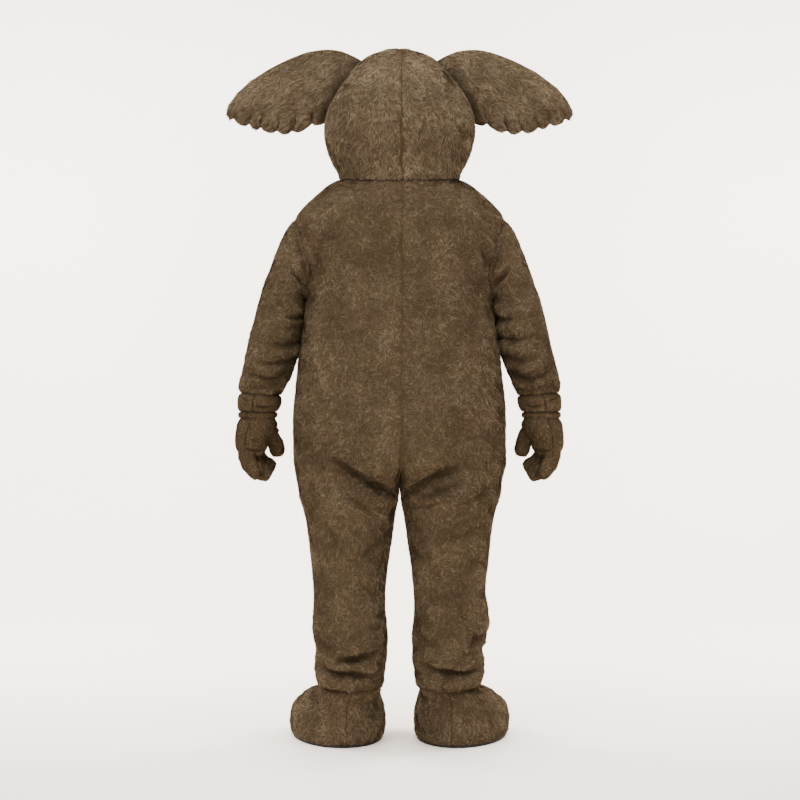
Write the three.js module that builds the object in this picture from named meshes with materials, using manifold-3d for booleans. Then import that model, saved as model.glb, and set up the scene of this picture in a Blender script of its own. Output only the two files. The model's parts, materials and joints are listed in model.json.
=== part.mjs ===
// Koala mascot costume: head with ears, body suit with sleeves, gloves and boots.
// Millimetres. +Z up, front towards -Y, the wearer's left at +X, origin between the wearer's shoulders.
import * as THREE from "three";
import Module from "manifold-3d";

const wasm = await Module();
wasm.setup();

// Heights are given above the ground and lowered by this much at the end.
const SHOULDER_HEIGHT = 1440;
const GAP = 0.3;
const SEAT_GAP = 0.4;

const BODY_WALL = 3;
const HEAD_WALL = 5;
const GLOVE_WALL = 3;
const BOOT_WALL = 4;

const TORSO_SQUARENESS = 0.86;
const HEAD_SQUARENESS = 0.95;
// The torso takes on the neck's rounder section over this height below the neck line.
const NECK_ROUNDING = 90;

// Body suit from the neck to the crotch: half width, depth of the back and of the front.
const TORSO = [
  { z: 1572, half: 122, back: 102, front: 104 },
  { z: 1556, half: 131, back: 110, front: 112 },
  { z: 1543, half: 146, back: 122, front: 124 },
  { z: 1534.5, half: 157.2, back: 131.2, front: 133.2 },
  { z: 1529, half: 170, back: 139, front: 141 },
  { z: 1521, half: 187, back: 146, front: 148 },
  { z: 1505, half: 207, back: 153, front: 156 },
  { z: 1489, half: 226, back: 158, front: 162 },
  { z: 1473, half: 243, back: 162, front: 167 },
  { z: 1456, half: 260, back: 165, front: 171 },
  { z: 1440, half: 273, back: 167, front: 175 },
  { z: 1424, half: 281, back: 168, front: 179 },
  { z: 1391, half: 279.5, back: 170, front: 187 },
  { z: 1340, half: 270.5, back: 172, front: 199 },
  { z: 1290, half: 261, back: 173, front: 209 },
  { z: 1240, half: 254.5, back: 174, front: 218 },
  { z: 1200, half: 252.5, back: 175, front: 224 },
  { z: 1150, half: 258, back: 177, front: 231 },
  { z: 1077, half: 268.5, back: 181, front: 238 },
  { z: 1040, half: 274.5, back: 183, front: 240 },
  { z: 1000, half: 278, back: 186, front: 239 },
  { z: 950, half: 283.5, back: 190, front: 234 },
  { z: 900, half: 286.5, back: 194, front: 226 },
  { z: 838, half: 288.6, back: 197, front: 213 },
  { z: 790, half: 286.5, back: 196, front: 202 },
  { z: 741, half: 280.5, back: 190, front: 190 },
  { z: 708, half: 275, back: 182, front: 180 },
  { z: 676, half: 269.6, back: 172, front: 170 },
];

// One leg: centre to the side, half width, depth behind and in front of its middle.
const LEG = [
  { z: 676, centre: 135.2, half: 134.4, back: 163, front: 160 },
  { z: 660, centre: 135.4, half: 130, back: 158, front: 155 },
  { z: 627, centre: 134.8, half: 124, back: 148, front: 147 },
  { z: 594, centre: 132.6, half: 116.6, back: 139, front: 140 },
  { z: 562, centre: 133.3, half: 113.3, back: 131, front: 134 },
  { z: 513, centre: 134, half: 107, back: 122, front: 127 },
  { z: 481, centre: 135.5, half: 103, back: 117, front: 121 },
  { z: 416, centre: 135, half: 97, back: 109, front: 112 },
  { z: 351, centre: 137, half: 98, back: 104, front: 107 },
  { z: 318, centre: 135.6, half: 101, back: 104, front: 106 },
  { z: 286, centre: 131.5, half: 98, back: 102, front: 103 },
  { z: 262, centre: 130, half: 95, back: 99, front: 100 },
  { z: 240, centre: 131, half: 97.5, back: 99, front: 101 },
  { z: 215, centre: 134, half: 96, back: 98, front: 100 },
  { z: 190, centre: 134.5, half: 93, back: 94, front: 96 },
  { z: 172, centre: 133, half: 88.6, back: 90, front: 92 },
  { z: 161, centre: 131.5, half: 86, back: 88, front: 90 },
];

const CROTCH = 676;
const SEAT = 800;
// The seat goes over into the leg on a quarter circle at the middle and more and more gently outwards.
const SEAT_CURVE_INSIDE = 0.5;
const SEAT_CURVE_RISE = 2.2;
const SEAT_CURVE_SPREAD = 0.7;
const HEM = 161;

// Folds grow to their full depth over this height above the hem, from this share at the hem itself.
const HEM_FADE = 40;
const HEM_FOLD_SHARE = 0.3;
// Folds die out towards the side seam over this share of the quarter turn.
const SIDE_FADE = 0.2;

// The neck line drops towards the back: slope at the neck, and where it fades out below and above.
const NECK_LINE = 1534.5;
const NECK_SLOPE = 0.14;
const SLOPE_ENDS_BELOW = 1430;
const SLOPE_ENDS_ABOVE = 1600;

// Centre-back seam, drawn a little to the wearer's right.
const BACK_SEAM_SHIFT = -6;

// Small steps over which the slope of a surface is taken: in height and in turn.
const SLOPE_STEP_Z = 1;
const SLOPE_STEP_TURN = 0.004;
const BOOT_SLOPE_STEP_Z = 0.5;
const BOOT_SLOPE_STEP_TURN = 0.01;

// Armhole: an oval on the torso's side, its reach given as a share of the quarter turn from the side.
const ARMHOLE = { top: 1424, bottom: 1200, backShare: 0.25, frontShare: 0.25 };

const TORSO_ROWS_ABOVE = [1572, 1550, 1534.5, 1528, 1520, 1503, 1478, 1450];
const ARMHOLE_ROWS = 8;
const TORSO_ROWS_BELOW = [1160, 1110, 1055, 1000, 940, 875];
const SEAT_ROWS = 6;
const LEG_ROWS = [648, 608, 555, 490, 415, 355, 312, 285, 265, 250, 235, 219, 204, 186, 161];
const BACK_COLUMNS = 9;
const FRONT_COLUMNS = 6;

// Large soft folds: on which side of the body, place of the middle, half length, half width,
// tilt in degrees rising outwards, and depth, negative for a trough.
const BACK_FOLDS = [
  { side: 1, x: 128, z: 748, reach: 62, width: 13, tilt: 30, depth: -7 },
  { side: 1, x: 60, z: 712, reach: 50, width: 12, tilt: 24, depth: -7 },
  { side: -1, x: 92, z: 728, reach: 74, width: 13, tilt: 26, depth: -7 },
  { side: 1, x: 96, z: 640, reach: 70, width: 15, tilt: 40, depth: -4 },
  { side: -1, x: 110, z: 652, reach: 66, width: 15, tilt: 36, depth: -4 },
  { side: 1, x: 205, z: 1250, reach: 90, width: 14, tilt: 62, depth: -5 },
  { side: -1, x: 210, z: 1236, reach: 80, width: 15, tilt: 64, depth: -5 },
  { side: 1, x: 112, z: 252, reach: 52, width: 10, tilt: -6, depth: -7 },
  { side: 1, x: 138, z: 209, reach: 66, width: 10, tilt: 6, depth: -7 },
  { side: -1, x: 188, z: 250, reach: 44, width: 10, tilt: 12, depth: -7 },
  { side: -1, x: 148, z: 207, reach: 66, width: 10, tilt: 4, depth: -7 },
  { side: -1, x: 190, z: 318, reach: 50, width: 18, tilt: 20, depth: 5 },
  { side: 1, x: 90, z: 330, reach: 46, width: 16, tilt: -18, depth: 4 },
];
const FRONT_FOLDS = [
  { side: 1, x: 86, z: 724, reach: 76, width: 14, tilt: 28, depth: -6 },
  { side: -1, x: 92, z: 718, reach: 70, width: 14, tilt: 30, depth: -6 },
  { side: 1, x: 210, z: 1240, reach: 80, width: 15, tilt: 60, depth: -5 },
  { side: -1, x: 204, z: 1248, reach: 84, width: 14, tilt: 62, depth: -5 },
  { side: 1, x: 120, z: 238, reach: 62, width: 11, tilt: 8, depth: -6 },
  { side: -1, x: 132, z: 232, reach: 60, width: 11, tilt: -8, depth: -6 },
];

// Sleeve sections: outermost and innermost point seen from behind, depth behind and in front.
const SLEEVE = [
  { outX: 303, outZ: 1404, inX: 258, inZ: 1203, back: 80, front: 81 },
  { outX: 324, outZ: 1357, inX: 254.5, inZ: 1193, back: 84, front: 85 },
  { outX: 346, outZ: 1303, inX: 257.2, inZ: 1174, back: 85, front: 86 },
  { outX: 372, outZ: 1230, inX: 262, inZ: 1132, back: 83, front: 85 },
  { outX: 387, outZ: 1178, inX: 268.2, inZ: 1090, back: 80, front: 82 },
  { outX: 398, outZ: 1138, inX: 272.6, inZ: 1062, back: 77, front: 79 },
  { outX: 414, outZ: 1070, inX: 286, inZ: 1018, back: 73, front: 75 },
  { outX: 421, outZ: 1040, inX: 295, inZ: 1001, back: 71, front: 73 },
  { outX: 427, outZ: 1010, inX: 302, inZ: 985, back: 69, front: 70 },
  { outX: 432, outZ: 988, inX: 310, inZ: 970, back: 66, front: 67 },
  { outX: 434.5, outZ: 971, inX: 317, inZ: 958.5, back: 62, front: 63 },
  { outX: 433, outZ: 961, inX: 321, inZ: 952.5, back: 58, front: 59 },
  { outX: 428, outZ: 956, inX: 325, inZ: 950, back: 54, front: 55 },
];
const SLEEVE_STEPS = 16;
// On the right sleeve the folds lie at other places round it: share of the left's angle, and shift.
const RIGHT_FOLD_SHARE = 0.8;
const RIGHT_FOLD_SHIFT = 14;

// Folds across a sleeve: section counted from the armhole, place round it in degrees from the
// inner side through the back, half length in degrees, half width in sections and depth.
const SLEEVE_FOLDS = [
  { row: 3, angle: 40, spread: 34, width: 0.8, depth: -5 },
  { row: 5.3, angle: 60, spread: 50, width: 0.8, depth: -3.5 },
  { row: 7.6, angle: 40, spread: 60, width: 0.8, depth: -4 },
  { row: 9.4, angle: 110, spread: 70, width: 0.7, depth: -3 },
  { row: 3.6, angle: 300, spread: 50, width: 0.8, depth: -4 },
  { row: 7.2, angle: 290, spread: 60, width: 0.8, depth: -4 },
];

const CUFF = [
  { outX: 428.4, outZ: 955.5, inX: 325.4, inZ: 949.5, back: 54, front: 55 },
  { outX: 436, outZ: 948, inX: 320.5, inZ: 943, back: 59, front: 60 },
  { outX: 438.5, outZ: 936, inX: 319.5, inZ: 933, back: 61, front: 62 },
  { outX: 439, outZ: 922, inX: 322.5, inZ: 920, back: 60, front: 61 },
  { outX: 437, outZ: 910, inX: 329, inZ: 908.5, back: 56, front: 57 },
  { outX: 433, outZ: 904.6, inX: 334, inZ: 904, back: 51.5, front: 52.5 },
];
const CUFF_STEPS = 12;

// Head from the neck line to the crown.
const HEAD = [
  { z: 1535, half: 163, back: 137, front: 139 },
  { z: 1552, half: 167, back: 147, front: 152 },
  { z: 1570, half: 177, back: 158, front: 170 },
  { z: 1603, half: 192.4, back: 173, front: 192 },
  { z: 1635, half: 200.5, back: 182, front: 205 },
  { z: 1668, half: 204.6, back: 186, front: 209 },
  { z: 1719, half: 193, back: 182, front: 200 },
  { z: 1776, half: 162, back: 160, front: 174 },
  { z: 1815, half: 134, back: 136, front: 146 },
  { z: 1847, half: 103, back: 108, front: 114 },
  { z: 1868, half: 72, back: 76, front: 80 },
  { z: 1880, half: 37, back: 39, front: 41 },
  { z: 1884.5, half: 0, back: 0, front: 0 },
];
const HEAD_ROWS = [1535, 1552, 1574, 1608, 1650, 1694, 1740, 1785, 1825, 1856, 1876, 1884.5];
const HEAD_COLUMNS = 6;
// The back seam runs back to the middle over this height below the crown.
const CROWN_HEIGHT = 20;

// Ear outline seen from behind, from the head to the tip.
const EAR_TOP_EDGE = [
  { share: 0, x: 106, z: 1852 },
  { share: 0.08, x: 131, z: 1872 },
  { share: 0.16, x: 164, z: 1887 },
  { share: 0.25, x: 198, z: 1891 },
  { share: 0.36, x: 240, z: 1886 },
  { share: 0.48, x: 286, z: 1872 },
  { share: 0.6, x: 336, z: 1850 },
  { share: 0.72, x: 384, z: 1822 },
  { share: 0.84, x: 430, z: 1787 },
  { share: 0.94, x: 463, z: 1746 },
  { share: 1, x: 474, z: 1716 },
];
const EAR_LOWER_EDGE = [
  { share: 0, x: 203, z: 1699 },
  { share: 0.16, x: 243, z: 1688 },
  { share: 0.3, x: 276, z: 1674 },
  { share: 0.42, x: 306, z: 1669 },
  { share: 0.54, x: 341, z: 1671 },
  { share: 0.66, x: 377, z: 1679 },
  { share: 0.78, x: 411, z: 1690 },
  { share: 0.9, x: 446, z: 1701 },
  { share: 1, x: 474, z: 1716 },
];
// Notches between the lobes of the lower edge, in columns from the head to the tip.
const EAR_NOTCHES = [0, 4, 10, 14, 18, 21, 25, 27];
const EAR = {
  plane: -28,
  sweep: -14,
  fullHalf: 26,
  edgeHalf: 1.6,
  lobeDepth: 9,
  lobeRoundness: 0.7,
  lobeNearEdge: 8,
  tipPower: 3,
  tipRounding: 0.7,
  rootFullness: 0.62,
};
// The ear is drawn this far into the head's side, and is then cut to the head's form.
const EAR_TUCK = 5;
// Share of the ear's length over which it follows the head's side.
const EAR_ROOT_SHARE = 0.25;
const EAR_COLUMNS = 27;
const EAR_ROWS = [0, 0.1, 0.42, 0.8, 1];

const NOSE = { z: 1648, halfWidth: 40, halfHeight: 52, height: 30 };
const EYE = { x: 74, z: 1702, halfWidth: 15, halfHeight: 19, height: 11 };
const FACE_RINGS = [1, 0.9, 0.6, 0];
const FACE_STEPS = 10;
// Nose and eyes are drawn this far into the head, cut to its form, and stand up from their rim.
const FACE_TUCK = 4;
const FACE_RIM = 3;

// Glove body from the wrist to the knuckles.
const GLOVE = [
  { z: 934, x: 381, y: -1, halfX: 45, halfY: 46 },
  { z: 905, x: 384, y: -1, halfX: 45.5, halfY: 47.5 },
  { z: 888, x: 384, y: -1, halfX: 45.5, halfY: 47.5 },
  { z: 872, x: 385, y: -2, halfX: 54.5, halfY: 54 },
  { z: 855, x: 388, y: -3, halfX: 54, halfY: 57 },
  { z: 838, x: 394, y: -3, halfX: 49, halfY: 59 },
  { z: 822, x: 401, y: -3, halfX: 43.5, halfY: 60 },
  { z: 806, x: 401, y: -3, halfX: 41, halfY: 59 },
  { z: 788, x: 402, y: -3, halfX: 30, halfY: 50 },
];
const GLOVE_STEPS = 12;
const GLOVE_INNER_STEPS = 8;
// The glove's straight wrist lies between this row of the table and the next.
const GLOVE_STEM_ROW = 1;
const GLOVE_BAND = [
  { z: 903.4, half: 49, depth: 50.5 },
  { z: 899, half: 52.5, depth: 54.5 },
  { z: 893, half: 52.5, depth: 54.5 },
  { z: 889, half: 50, depth: 52 },
];
// The glove's back seam, from the wrist down to where it leaves the hand at the knuckles.
const GLOVE_SEAM = [
  { z: 960, x: 402 },
  { z: 884, x: 404 },
  { z: 848, x: 412 },
  { z: 816, x: 421 },
  { z: 800, x: 436 },
  { z: 786, x: 470 },
];
// The block of space that is cut along the glove's back seam.
const SEAM_SLAB = { inner: 200, outer: 600, low: 600, depth: 300 };
// The glove's hollow is drawn this far past its open end.
const OPEN_END = 8;
// Fingers and thumb: centre line and radius.
const FINGERS = {
  back: [
    { x: 411, y: 35, z: 812, r: 23 },
    { x: 410, y: 37, z: 786, r: 23 },
    { x: 402, y: 38, z: 762, r: 23 },
    { x: 387, y: 37, z: 745, r: 22 },
  ],
  middle: [
    { x: 404, y: -2, z: 810, r: 23 },
    { x: 397, y: -2, z: 776, r: 23 },
    { x: 384, y: -2, z: 750, r: 23 },
    { x: 366, y: -2, z: 738, r: 22 },
  ],
  front: [
    { x: 398, y: -40, z: 810, r: 23 },
    { x: 389, y: -41, z: 784, r: 23 },
    { x: 375, y: -41, z: 765, r: 22.5 },
    { x: 358, y: -40, z: 756, r: 22 },
  ],
  thumb: [
    { x: 368, y: -14, z: 866, r: 27 },
    { x: 348, y: -24, z: 840, r: 25 },
    { x: 338, y: -29, z: 818, r: 21.5 },
    { x: 334.5, y: -30, z: 799, r: 20 },
  ],
};
const FINGER_STEPS = 8;
const FINGER_INNER_STEPS = 5;

// Boot sections: centre, reach to the heel and to the toe along the boot, half width.
const BOOT = [
  { z: 12.3, x: 173, y: -141, heel: 209, toe: 145, half: 123 },
  { z: 24, x: 173, y: -141, heel: 215, toe: 151, half: 128 },
  { z: 45, x: 173, y: -141, heel: 217, toe: 153, half: 130 },
  { z: 72, x: 172, y: -140, heel: 215, toe: 150, half: 129 },
  { z: 95, x: 171, y: -137, heel: 209, toe: 142, half: 124 },
  { z: 115, x: 167, y: -126, heel: 194, toe: 126, half: 115 },
  { z: 130, x: 161, y: -101, heel: 166, toe: 112, half: 105 },
  { z: 142, x: 153, y: -67, heel: 134, toe: 99, half: 97 },
  { z: 150, x: 145, y: -40, heel: 108, toe: 90, half: 90 },
  { z: 155.5, x: 138, y: -18, heel: 89, toe: 81, half: 83 },
  { z: 159.5, x: 132.5, y: -6, heel: 79, toe: 78.2, half: 76.4 },
  { z: 178, x: 132, y: -1, heel: 75, toe: 77, half: 75 },
  { z: 206, x: 132, y: 0, heel: 73, toe: 75, half: 73 },
];
const BOOT_TURN = THREE.MathUtils.degToRad(8.4);
const BOOT_ROWS = [12.3, 24, 48, 76, 98, 116, 131, 143, 152, 159.5, 206];
const BOOT_COLUMNS = 8;
const BOOT_FOLDS = [
  { side: 1, x: 232, z: 118, reach: 40, width: 9, tilt: 40, depth: -4 },
  { side: 1, x: 252, z: 96, reach: 36, width: 9, tilt: 22, depth: -3 },
  { side: -1, x: 236, z: 112, reach: 42, width: 9, tilt: 34, depth: -4 },
];
const SOLE = { top: 12, heel: 209, toe: 145, half: 123, x: 173, y: -141, steps: 26 };

const PLUSH = { color: 0x6b5843, roughness: 0.95, metalness: 0 };
const SOLE_RUBBER = { color: 0x1b1917, roughness: 0.7, metalness: 0 };
const NOSE_VINYL = { color: 0x17130f, roughness: 0.45, metalness: 0 };
const EYE_PLASTIC = { color: 0x0b0908, roughness: 0.12, metalness: 0 };

const costume = new THREE.Group();
costume.name = "koala_mascot_costume";

function addNode(name, geometry, look) {
  const mesh = new THREE.Mesh(geometry, new THREE.MeshStandardMaterial(look));
  mesh.name = name;
  mesh.position.z = -SHOULDER_HEIGHT;
  costume.add(mesh);
}

// Smooth value of one column of a table at a given place of its key column, with no overshoot.
function column(table, name, at, key = "z") {
  const rising = table[0][key] < table[table.length - 1][key];
  const rows = rising ? table : [...table].reverse();
  const last = rows.length - 1;
  if (at <= rows[0][key]) return rows[0][name];
  if (at >= rows[last][key]) return rows[last][name];
  let i = 0;
  while (rows[i + 1][key] < at) i += 1;
  const slope = (j) => (rows[j + 1][name] - rows[j][name]) / (rows[j + 1][key] - rows[j][key]);
  const tangent = (j) => {
    if (j === 0) return slope(0);
    if (j === last) return slope(last - 1);
    const before = slope(j - 1);
    const after = slope(j);
    return before * after <= 0 ? 0 : (2 * before * after) / (before + after);
  };
  const span = rows[i + 1][key] - rows[i][key];
  const t = (at - rows[i][key]) / span;
  const t2 = t * t;
  const t3 = t2 * t;
  return (
    (2 * t3 - 3 * t2 + 1) * rows[i][name] +
    (t3 - 2 * t2 + t) * span * tangent(i) +
    (3 * t2 - 2 * t3) * rows[i + 1][name] +
    (t3 - t2) * span * tangent(i + 1)
  );
}

const signedPower = (value, power) => Math.sign(value) * Math.abs(value) ** power;

function foldDepth(folds, side, x, z) {
  let sum = 0;
  for (const f of folds) {
    if (f.side !== side) continue;
    const tilt = THREE.MathUtils.degToRad(f.tilt);
    const along = ((x - f.x) * Math.cos(tilt) + (z - f.z) * Math.sin(tilt)) / f.reach;
    const across = ((z - f.z) * Math.cos(tilt) - (x - f.x) * Math.sin(tilt)) / f.width;
    sum += f.depth * Math.exp(-along * along - across * across);
  }
  return sum;
}

function mirrored(point, side) {
  return new THREE.Vector3(point.x * side, point.y, point.z);
}

// A closed surface from corner points, with shared vertices and turned to face outwards.
function closedSurface(corners) {
  const positions = [];
  const seen = new Map();
  const index = [];
  const vertex = (p) => {
    const key = `${p.x.toFixed(3)},${p.y.toFixed(3)},${p.z.toFixed(3)}`;
    if (!seen.has(key)) {
      seen.set(key, positions.length / 3);
      positions.push(p.x, p.y, p.z);
    }
    return seen.get(key);
  };
  let volume = 0;
  for (const [a, b, c] of corners) {
    const [i, j, k] = [vertex(a), vertex(b), vertex(c)];
    if (i === j || j === k || i === k) continue;
    index.push(i, j, k);
    volume += a.dot(b.clone().cross(c));
  }
  if (volume < 0) index.reverse();
  const geometry = new THREE.BufferGeometry();
  geometry.setAttribute("position", new THREE.Float32BufferAttribute(positions, 3));
  geometry.setIndex(index);
  return geometry;
}

// A closed solid between two grids of points; a closed grid joins its last column to its first.
function solidBetween(outer, inner, closed) {
  const corners = [];
  const quad = (a, b, c, d) => corners.push([a, b, c], [a, c, d]);
  const rows = outer.length;
  const columns = outer[0].length;
  const spans = closed ? columns : columns - 1;
  for (let r = 0; r < rows - 1; r += 1) {
    for (let c = 0; c < spans; c += 1) {
      const n = (c + 1) % columns;
      quad(outer[r][c], outer[r + 1][c], outer[r + 1][n], outer[r][n]);
      quad(inner[r][n], inner[r + 1][n], inner[r + 1][c], inner[r][c]);
    }
  }
  for (let c = 0; c < spans; c += 1) {
    const n = (c + 1) % columns;
    const e = rows - 1;
    quad(outer[0][c], outer[0][n], inner[0][n], inner[0][c]);
    quad(outer[e][n], outer[e][c], inner[e][c], inner[e][n]);
  }
  if (!closed) {
    const e = columns - 1;
    for (let r = 0; r < rows - 1; r += 1) {
      quad(outer[r + 1][0], outer[r][0], inner[r][0], inner[r + 1][0]);
      quad(outer[r][e], outer[r + 1][e], inner[r + 1][e], inner[r][e]);
    }
  }
  return closedSurface(corners);
}

// Body suit.

function neckDrop(z, y) {
  const from = z < NECK_LINE ? SLOPE_ENDS_BELOW : SLOPE_ENDS_ABOVE;
  const share = THREE.MathUtils.clamp((z - from) / (NECK_LINE - from), 0, 1);
  return NECK_SLOPE * share * y;
}

// turn runs from 0 at the centre back or inside leg, through 1 at the side, to 2 at the centre front.
function bodyPoint(z, turn) {
  const torsoAngle = ((1 - turn) * Math.PI) / 2;
  const legAngle = (1 - turn) * Math.PI;
  const onLeg = THREE.MathUtils.clamp((SEAT - z) / (SEAT - CROTCH), 0, 1);
  const fromInside = THREE.MathUtils.clamp(1 - Math.abs(1 - turn), 0, 1);
  const power = SEAT_CURVE_INSIDE + SEAT_CURVE_RISE * fromInside ** SEAT_CURVE_SPREAD;
  const torsoShare = z <= CROTCH ? 0 : (1 - onLeg * onLeg) ** power;
  const behind = turn < 1 ? "back" : "front";
  const rounding = THREE.MathUtils.smoothstep(z, NECK_LINE - NECK_ROUNDING, NECK_LINE);
  const squareness = THREE.MathUtils.lerp(TORSO_SQUARENESS, HEAD_SQUARENESS, rounding);
  const torsoX = column(TORSO, "half", z) * signedPower(Math.cos(torsoAngle), squareness);
  const torsoY = column(TORSO, behind, z) * signedPower(Math.sin(torsoAngle), squareness);
  const legZ = Math.min(z, CROTCH);
  const legSide = Math.sin(legAngle) >= 0 ? "back" : "front";
  const legX = column(LEG, "centre", legZ) + column(LEG, "half", legZ) * Math.cos(legAngle);
  const legY = column(LEG, legSide, legZ) * Math.sin(legAngle);
  const x = THREE.MathUtils.lerp(legX, torsoX, torsoShare);
  const y = THREE.MathUtils.lerp(legY, torsoY, torsoShare);
  return new THREE.Vector3(x, y, z - neckDrop(z, y));
}

function normalOf(surface, row, turn, rowStep, turnStep) {
  const across = surface(row, turn + turnStep).sub(surface(row, turn - turnStep));
  const along = surface(row + rowStep, turn).sub(surface(row - rowStep, turn));
  return along.cross(across).normalize();
}

// Outer and inner point of the cloth on the left half of the body, folds of one side included.
function bodyCloth(z, turn, side) {
  const point = bodyPoint(z, turn);
  const normal = normalOf(bodyPoint, z, turn, SLOPE_STEP_Z, SLOPE_STEP_TURN);
  const hemFade = THREE.MathUtils.clamp((z - HEM) / HEM_FADE + HEM_FOLD_SHARE, 0, 1);
  const sideFade = Math.min(1, Math.abs(turn - 1) / SIDE_FADE);
  const folds = turn < 1 ? BACK_FOLDS : FRONT_FOLDS;
  const lift = foldDepth(folds, side, point.x, z) * hemFade * sideFade;
  const outer = point.clone().addScaledVector(normal, lift);
  const inner = point.clone().addScaledVector(normal, lift - BODY_WALL);
  const shift = turn < 1 ? BACK_SEAM_SHIFT * side * (1 - turn) ** 2 : 0;
  const above = THREE.MathUtils.smoothstep(z, CROTCH, SEAT);
  outer.x += shift * above;
  inner.x += shift * above;
  return { outer, inner };
}

const armholeMiddle = (ARMHOLE.top + ARMHOLE.bottom) / 2;
const armholeHalf = (ARMHOLE.top - ARMHOLE.bottom) / 2;

function armholeTurn(z, back) {
  const up = THREE.MathUtils.clamp((z - armholeMiddle) / armholeHalf, -1, 1);
  const reach = Math.sqrt(1 - up * up);
  return back ? 1 - ARMHOLE.backShare * reach : 1 + ARMHOLE.frontShare * reach;
}

const armholeRows = [];
for (let i = 0; i <= ARMHOLE_ROWS; i += 1) {
  armholeRows.push(armholeMiddle + armholeHalf * Math.cos((Math.PI * i) / ARMHOLE_ROWS));
}
const seatRows = [];
for (let i = 0; i <= SEAT_ROWS; i += 1) {
  seatRows.push(SEAT - (SEAT - CROTCH) * Math.sin(((Math.PI / 2) * i) / SEAT_ROWS));
}
const BODY_ROWS = [...TORSO_ROWS_ABOVE, ...armholeRows, ...TORSO_ROWS_BELOW, ...seatRows, ...LEG_ROWS];

function bodyPanel(side, back) {
  const outer = [];
  const inner = [];
  const columns = back ? BACK_COLUMNS : FRONT_COLUMNS;
  const towards = back ? 1 : -1;
  for (const z of BODY_ROWS) {
    const from = back ? 0 : 2;
    const to = armholeTurn(z, back);
    const outerRow = [];
    const innerRow = [];
    for (let c = 0; c <= columns; c += 1) {
      const turn = THREE.MathUtils.lerp(from, to, c / columns);
      const cloth = bodyCloth(z, turn, side);
      const seam = back ? BACK_SEAM_SHIFT * side * THREE.MathUtils.smoothstep(z, CROTCH, SEAT) : 0;
      for (const point of [cloth.outer, cloth.inner]) {
        if (c === 0 && z > CROTCH) point.x = seam + GAP / 2;
        if (c === 0) point.y = towards * Math.max(towards * point.y, GAP / 2);
        if (c === columns && to === 1) point.y = (towards * GAP) / 2;
      }
      outerRow.push(mirrored(cloth.outer, side));
      innerRow.push(mirrored(cloth.inner, side));
    }
    outer.push(outerRow);
    inner.push(innerRow);
  }
  return solidBetween(outer, inner, false);
}

// Tubes of cloth: sleeves and cuffs.

// Outer ring of a section that is given by its outermost and innermost point seen from behind.
function sectionRing(section, steps) {
  const middle = new THREE.Vector3(
    (section.outX + section.inX) / 2,
    0,
    (section.outZ + section.inZ) / 2,
  );
  const up = new THREE.Vector3(section.outX, 0, section.outZ).sub(middle);
  const ring = [];
  for (let i = 0; i < steps; i += 1) {
    const angle = (2 * Math.PI * i) / steps - Math.PI / 2;
    const depth = Math.cos(angle) > 0 ? section.back : section.front;
    const point = middle.clone().addScaledVector(up, Math.sin(angle));
    point.y = depth * Math.cos(angle);
    ring.push(point);
  }
  return ring;
}

function ringNormal(rings, row, i) {
  const steps = rings[row].length;
  const before = rings[Math.max(row - 1, 0)][i];
  const after = rings[Math.min(row + 1, rings.length - 1)][i];
  const along = after.clone().sub(before);
  const around = rings[row][(i + 1) % steps].clone().sub(rings[row][(i + steps - 1) % steps]);
  return around.cross(along).normalize();
}

function innerRing(rings, row, wall) {
  const middle = middleOf(rings[row]);
  return rings[row].map((point, i) => {
    const normal = ringNormal(rings, row, i);
    if (normal.dot(point.clone().sub(middle)) < 0) normal.negate();
    return point.clone().addScaledVector(normal, -wall);
  });
}

// First ring of the sleeve: the armhole's edge, moved into the armhole by the seam gap.
function armholeRing(side) {
  const outer = [];
  const inner = [];
  const centre = bodyPoint(armholeMiddle, 1);
  for (let i = 0; i < SLEEVE_STEPS; i += 1) {
    const angle = (2 * Math.PI * i) / SLEEVE_STEPS - Math.PI / 2;
    const z = armholeMiddle + armholeHalf * Math.sin(angle);
    const back = Math.cos(angle) >= 0;
    const cloth = bodyCloth(z, armholeTurn(z, back), side);
    if (Math.abs(Math.cos(angle)) < 1e-6) {
      cloth.outer.y = 0;
      cloth.inner.y = 0;
    }
    const thickness = cloth.outer.clone().sub(cloth.inner).normalize();
    const into = centre.clone().sub(cloth.outer);
    into.addScaledVector(thickness, -into.dot(thickness)).normalize();
    outer.push(cloth.outer.addScaledVector(into, GAP));
    inner.push(cloth.inner.addScaledVector(into, GAP));
  }
  return { outer, inner };
}

function sleeve(side) {
  const start = armholeRing(side);
  const rings = [start.outer];
  SLEEVE.forEach((section, k) => {
    const ring = sectionRing(section, SLEEVE_STEPS);
    const middle = middleOf(ring);
    ring.forEach((point, i) => {
      const angle = (360 * i) / SLEEVE_STEPS;
      for (const f of SLEEVE_FOLDS) {
        const along = (k + 1 - f.row) / f.width;
        const turned = side > 0 ? f.angle : f.angle * RIGHT_FOLD_SHARE + RIGHT_FOLD_SHIFT;
        const around = (((angle - turned + 540) % 360) - 180) / f.spread;
        const lift = f.depth * Math.exp(-along * along - around * around);
        const inwards = point.clone().sub(middle).normalize();
        const torsoSide = Math.max(0, -Math.sin(THREE.MathUtils.degToRad(angle - 90)));
        point.addScaledVector(inwards, lift * (1 - torsoSide));
      }
    });
    rings.push(ring);
  });
  const inner = rings.map((ring, row) => (row === 0 ? start.inner : innerRing(rings, row, BODY_WALL)));
  return solidBetween(
    rings.map((ring) => ring.map((p) => mirrored(p, side))),
    inner.map((ring) => ring.map((p) => mirrored(p, side))),
    true,
  );
}

function cuff(side) {
  const rings = CUFF.map((section) => sectionRing(section, CUFF_STEPS));
  const inner = rings.map((ring, row) => innerRing(rings, row, BODY_WALL));
  return solidBetween(
    rings.map((ring) => ring.map((p) => mirrored(p, side))),
    inner.map((ring) => ring.map((p) => mirrored(p, side))),
    true,
  );
}

// Head, ears and face.

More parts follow.
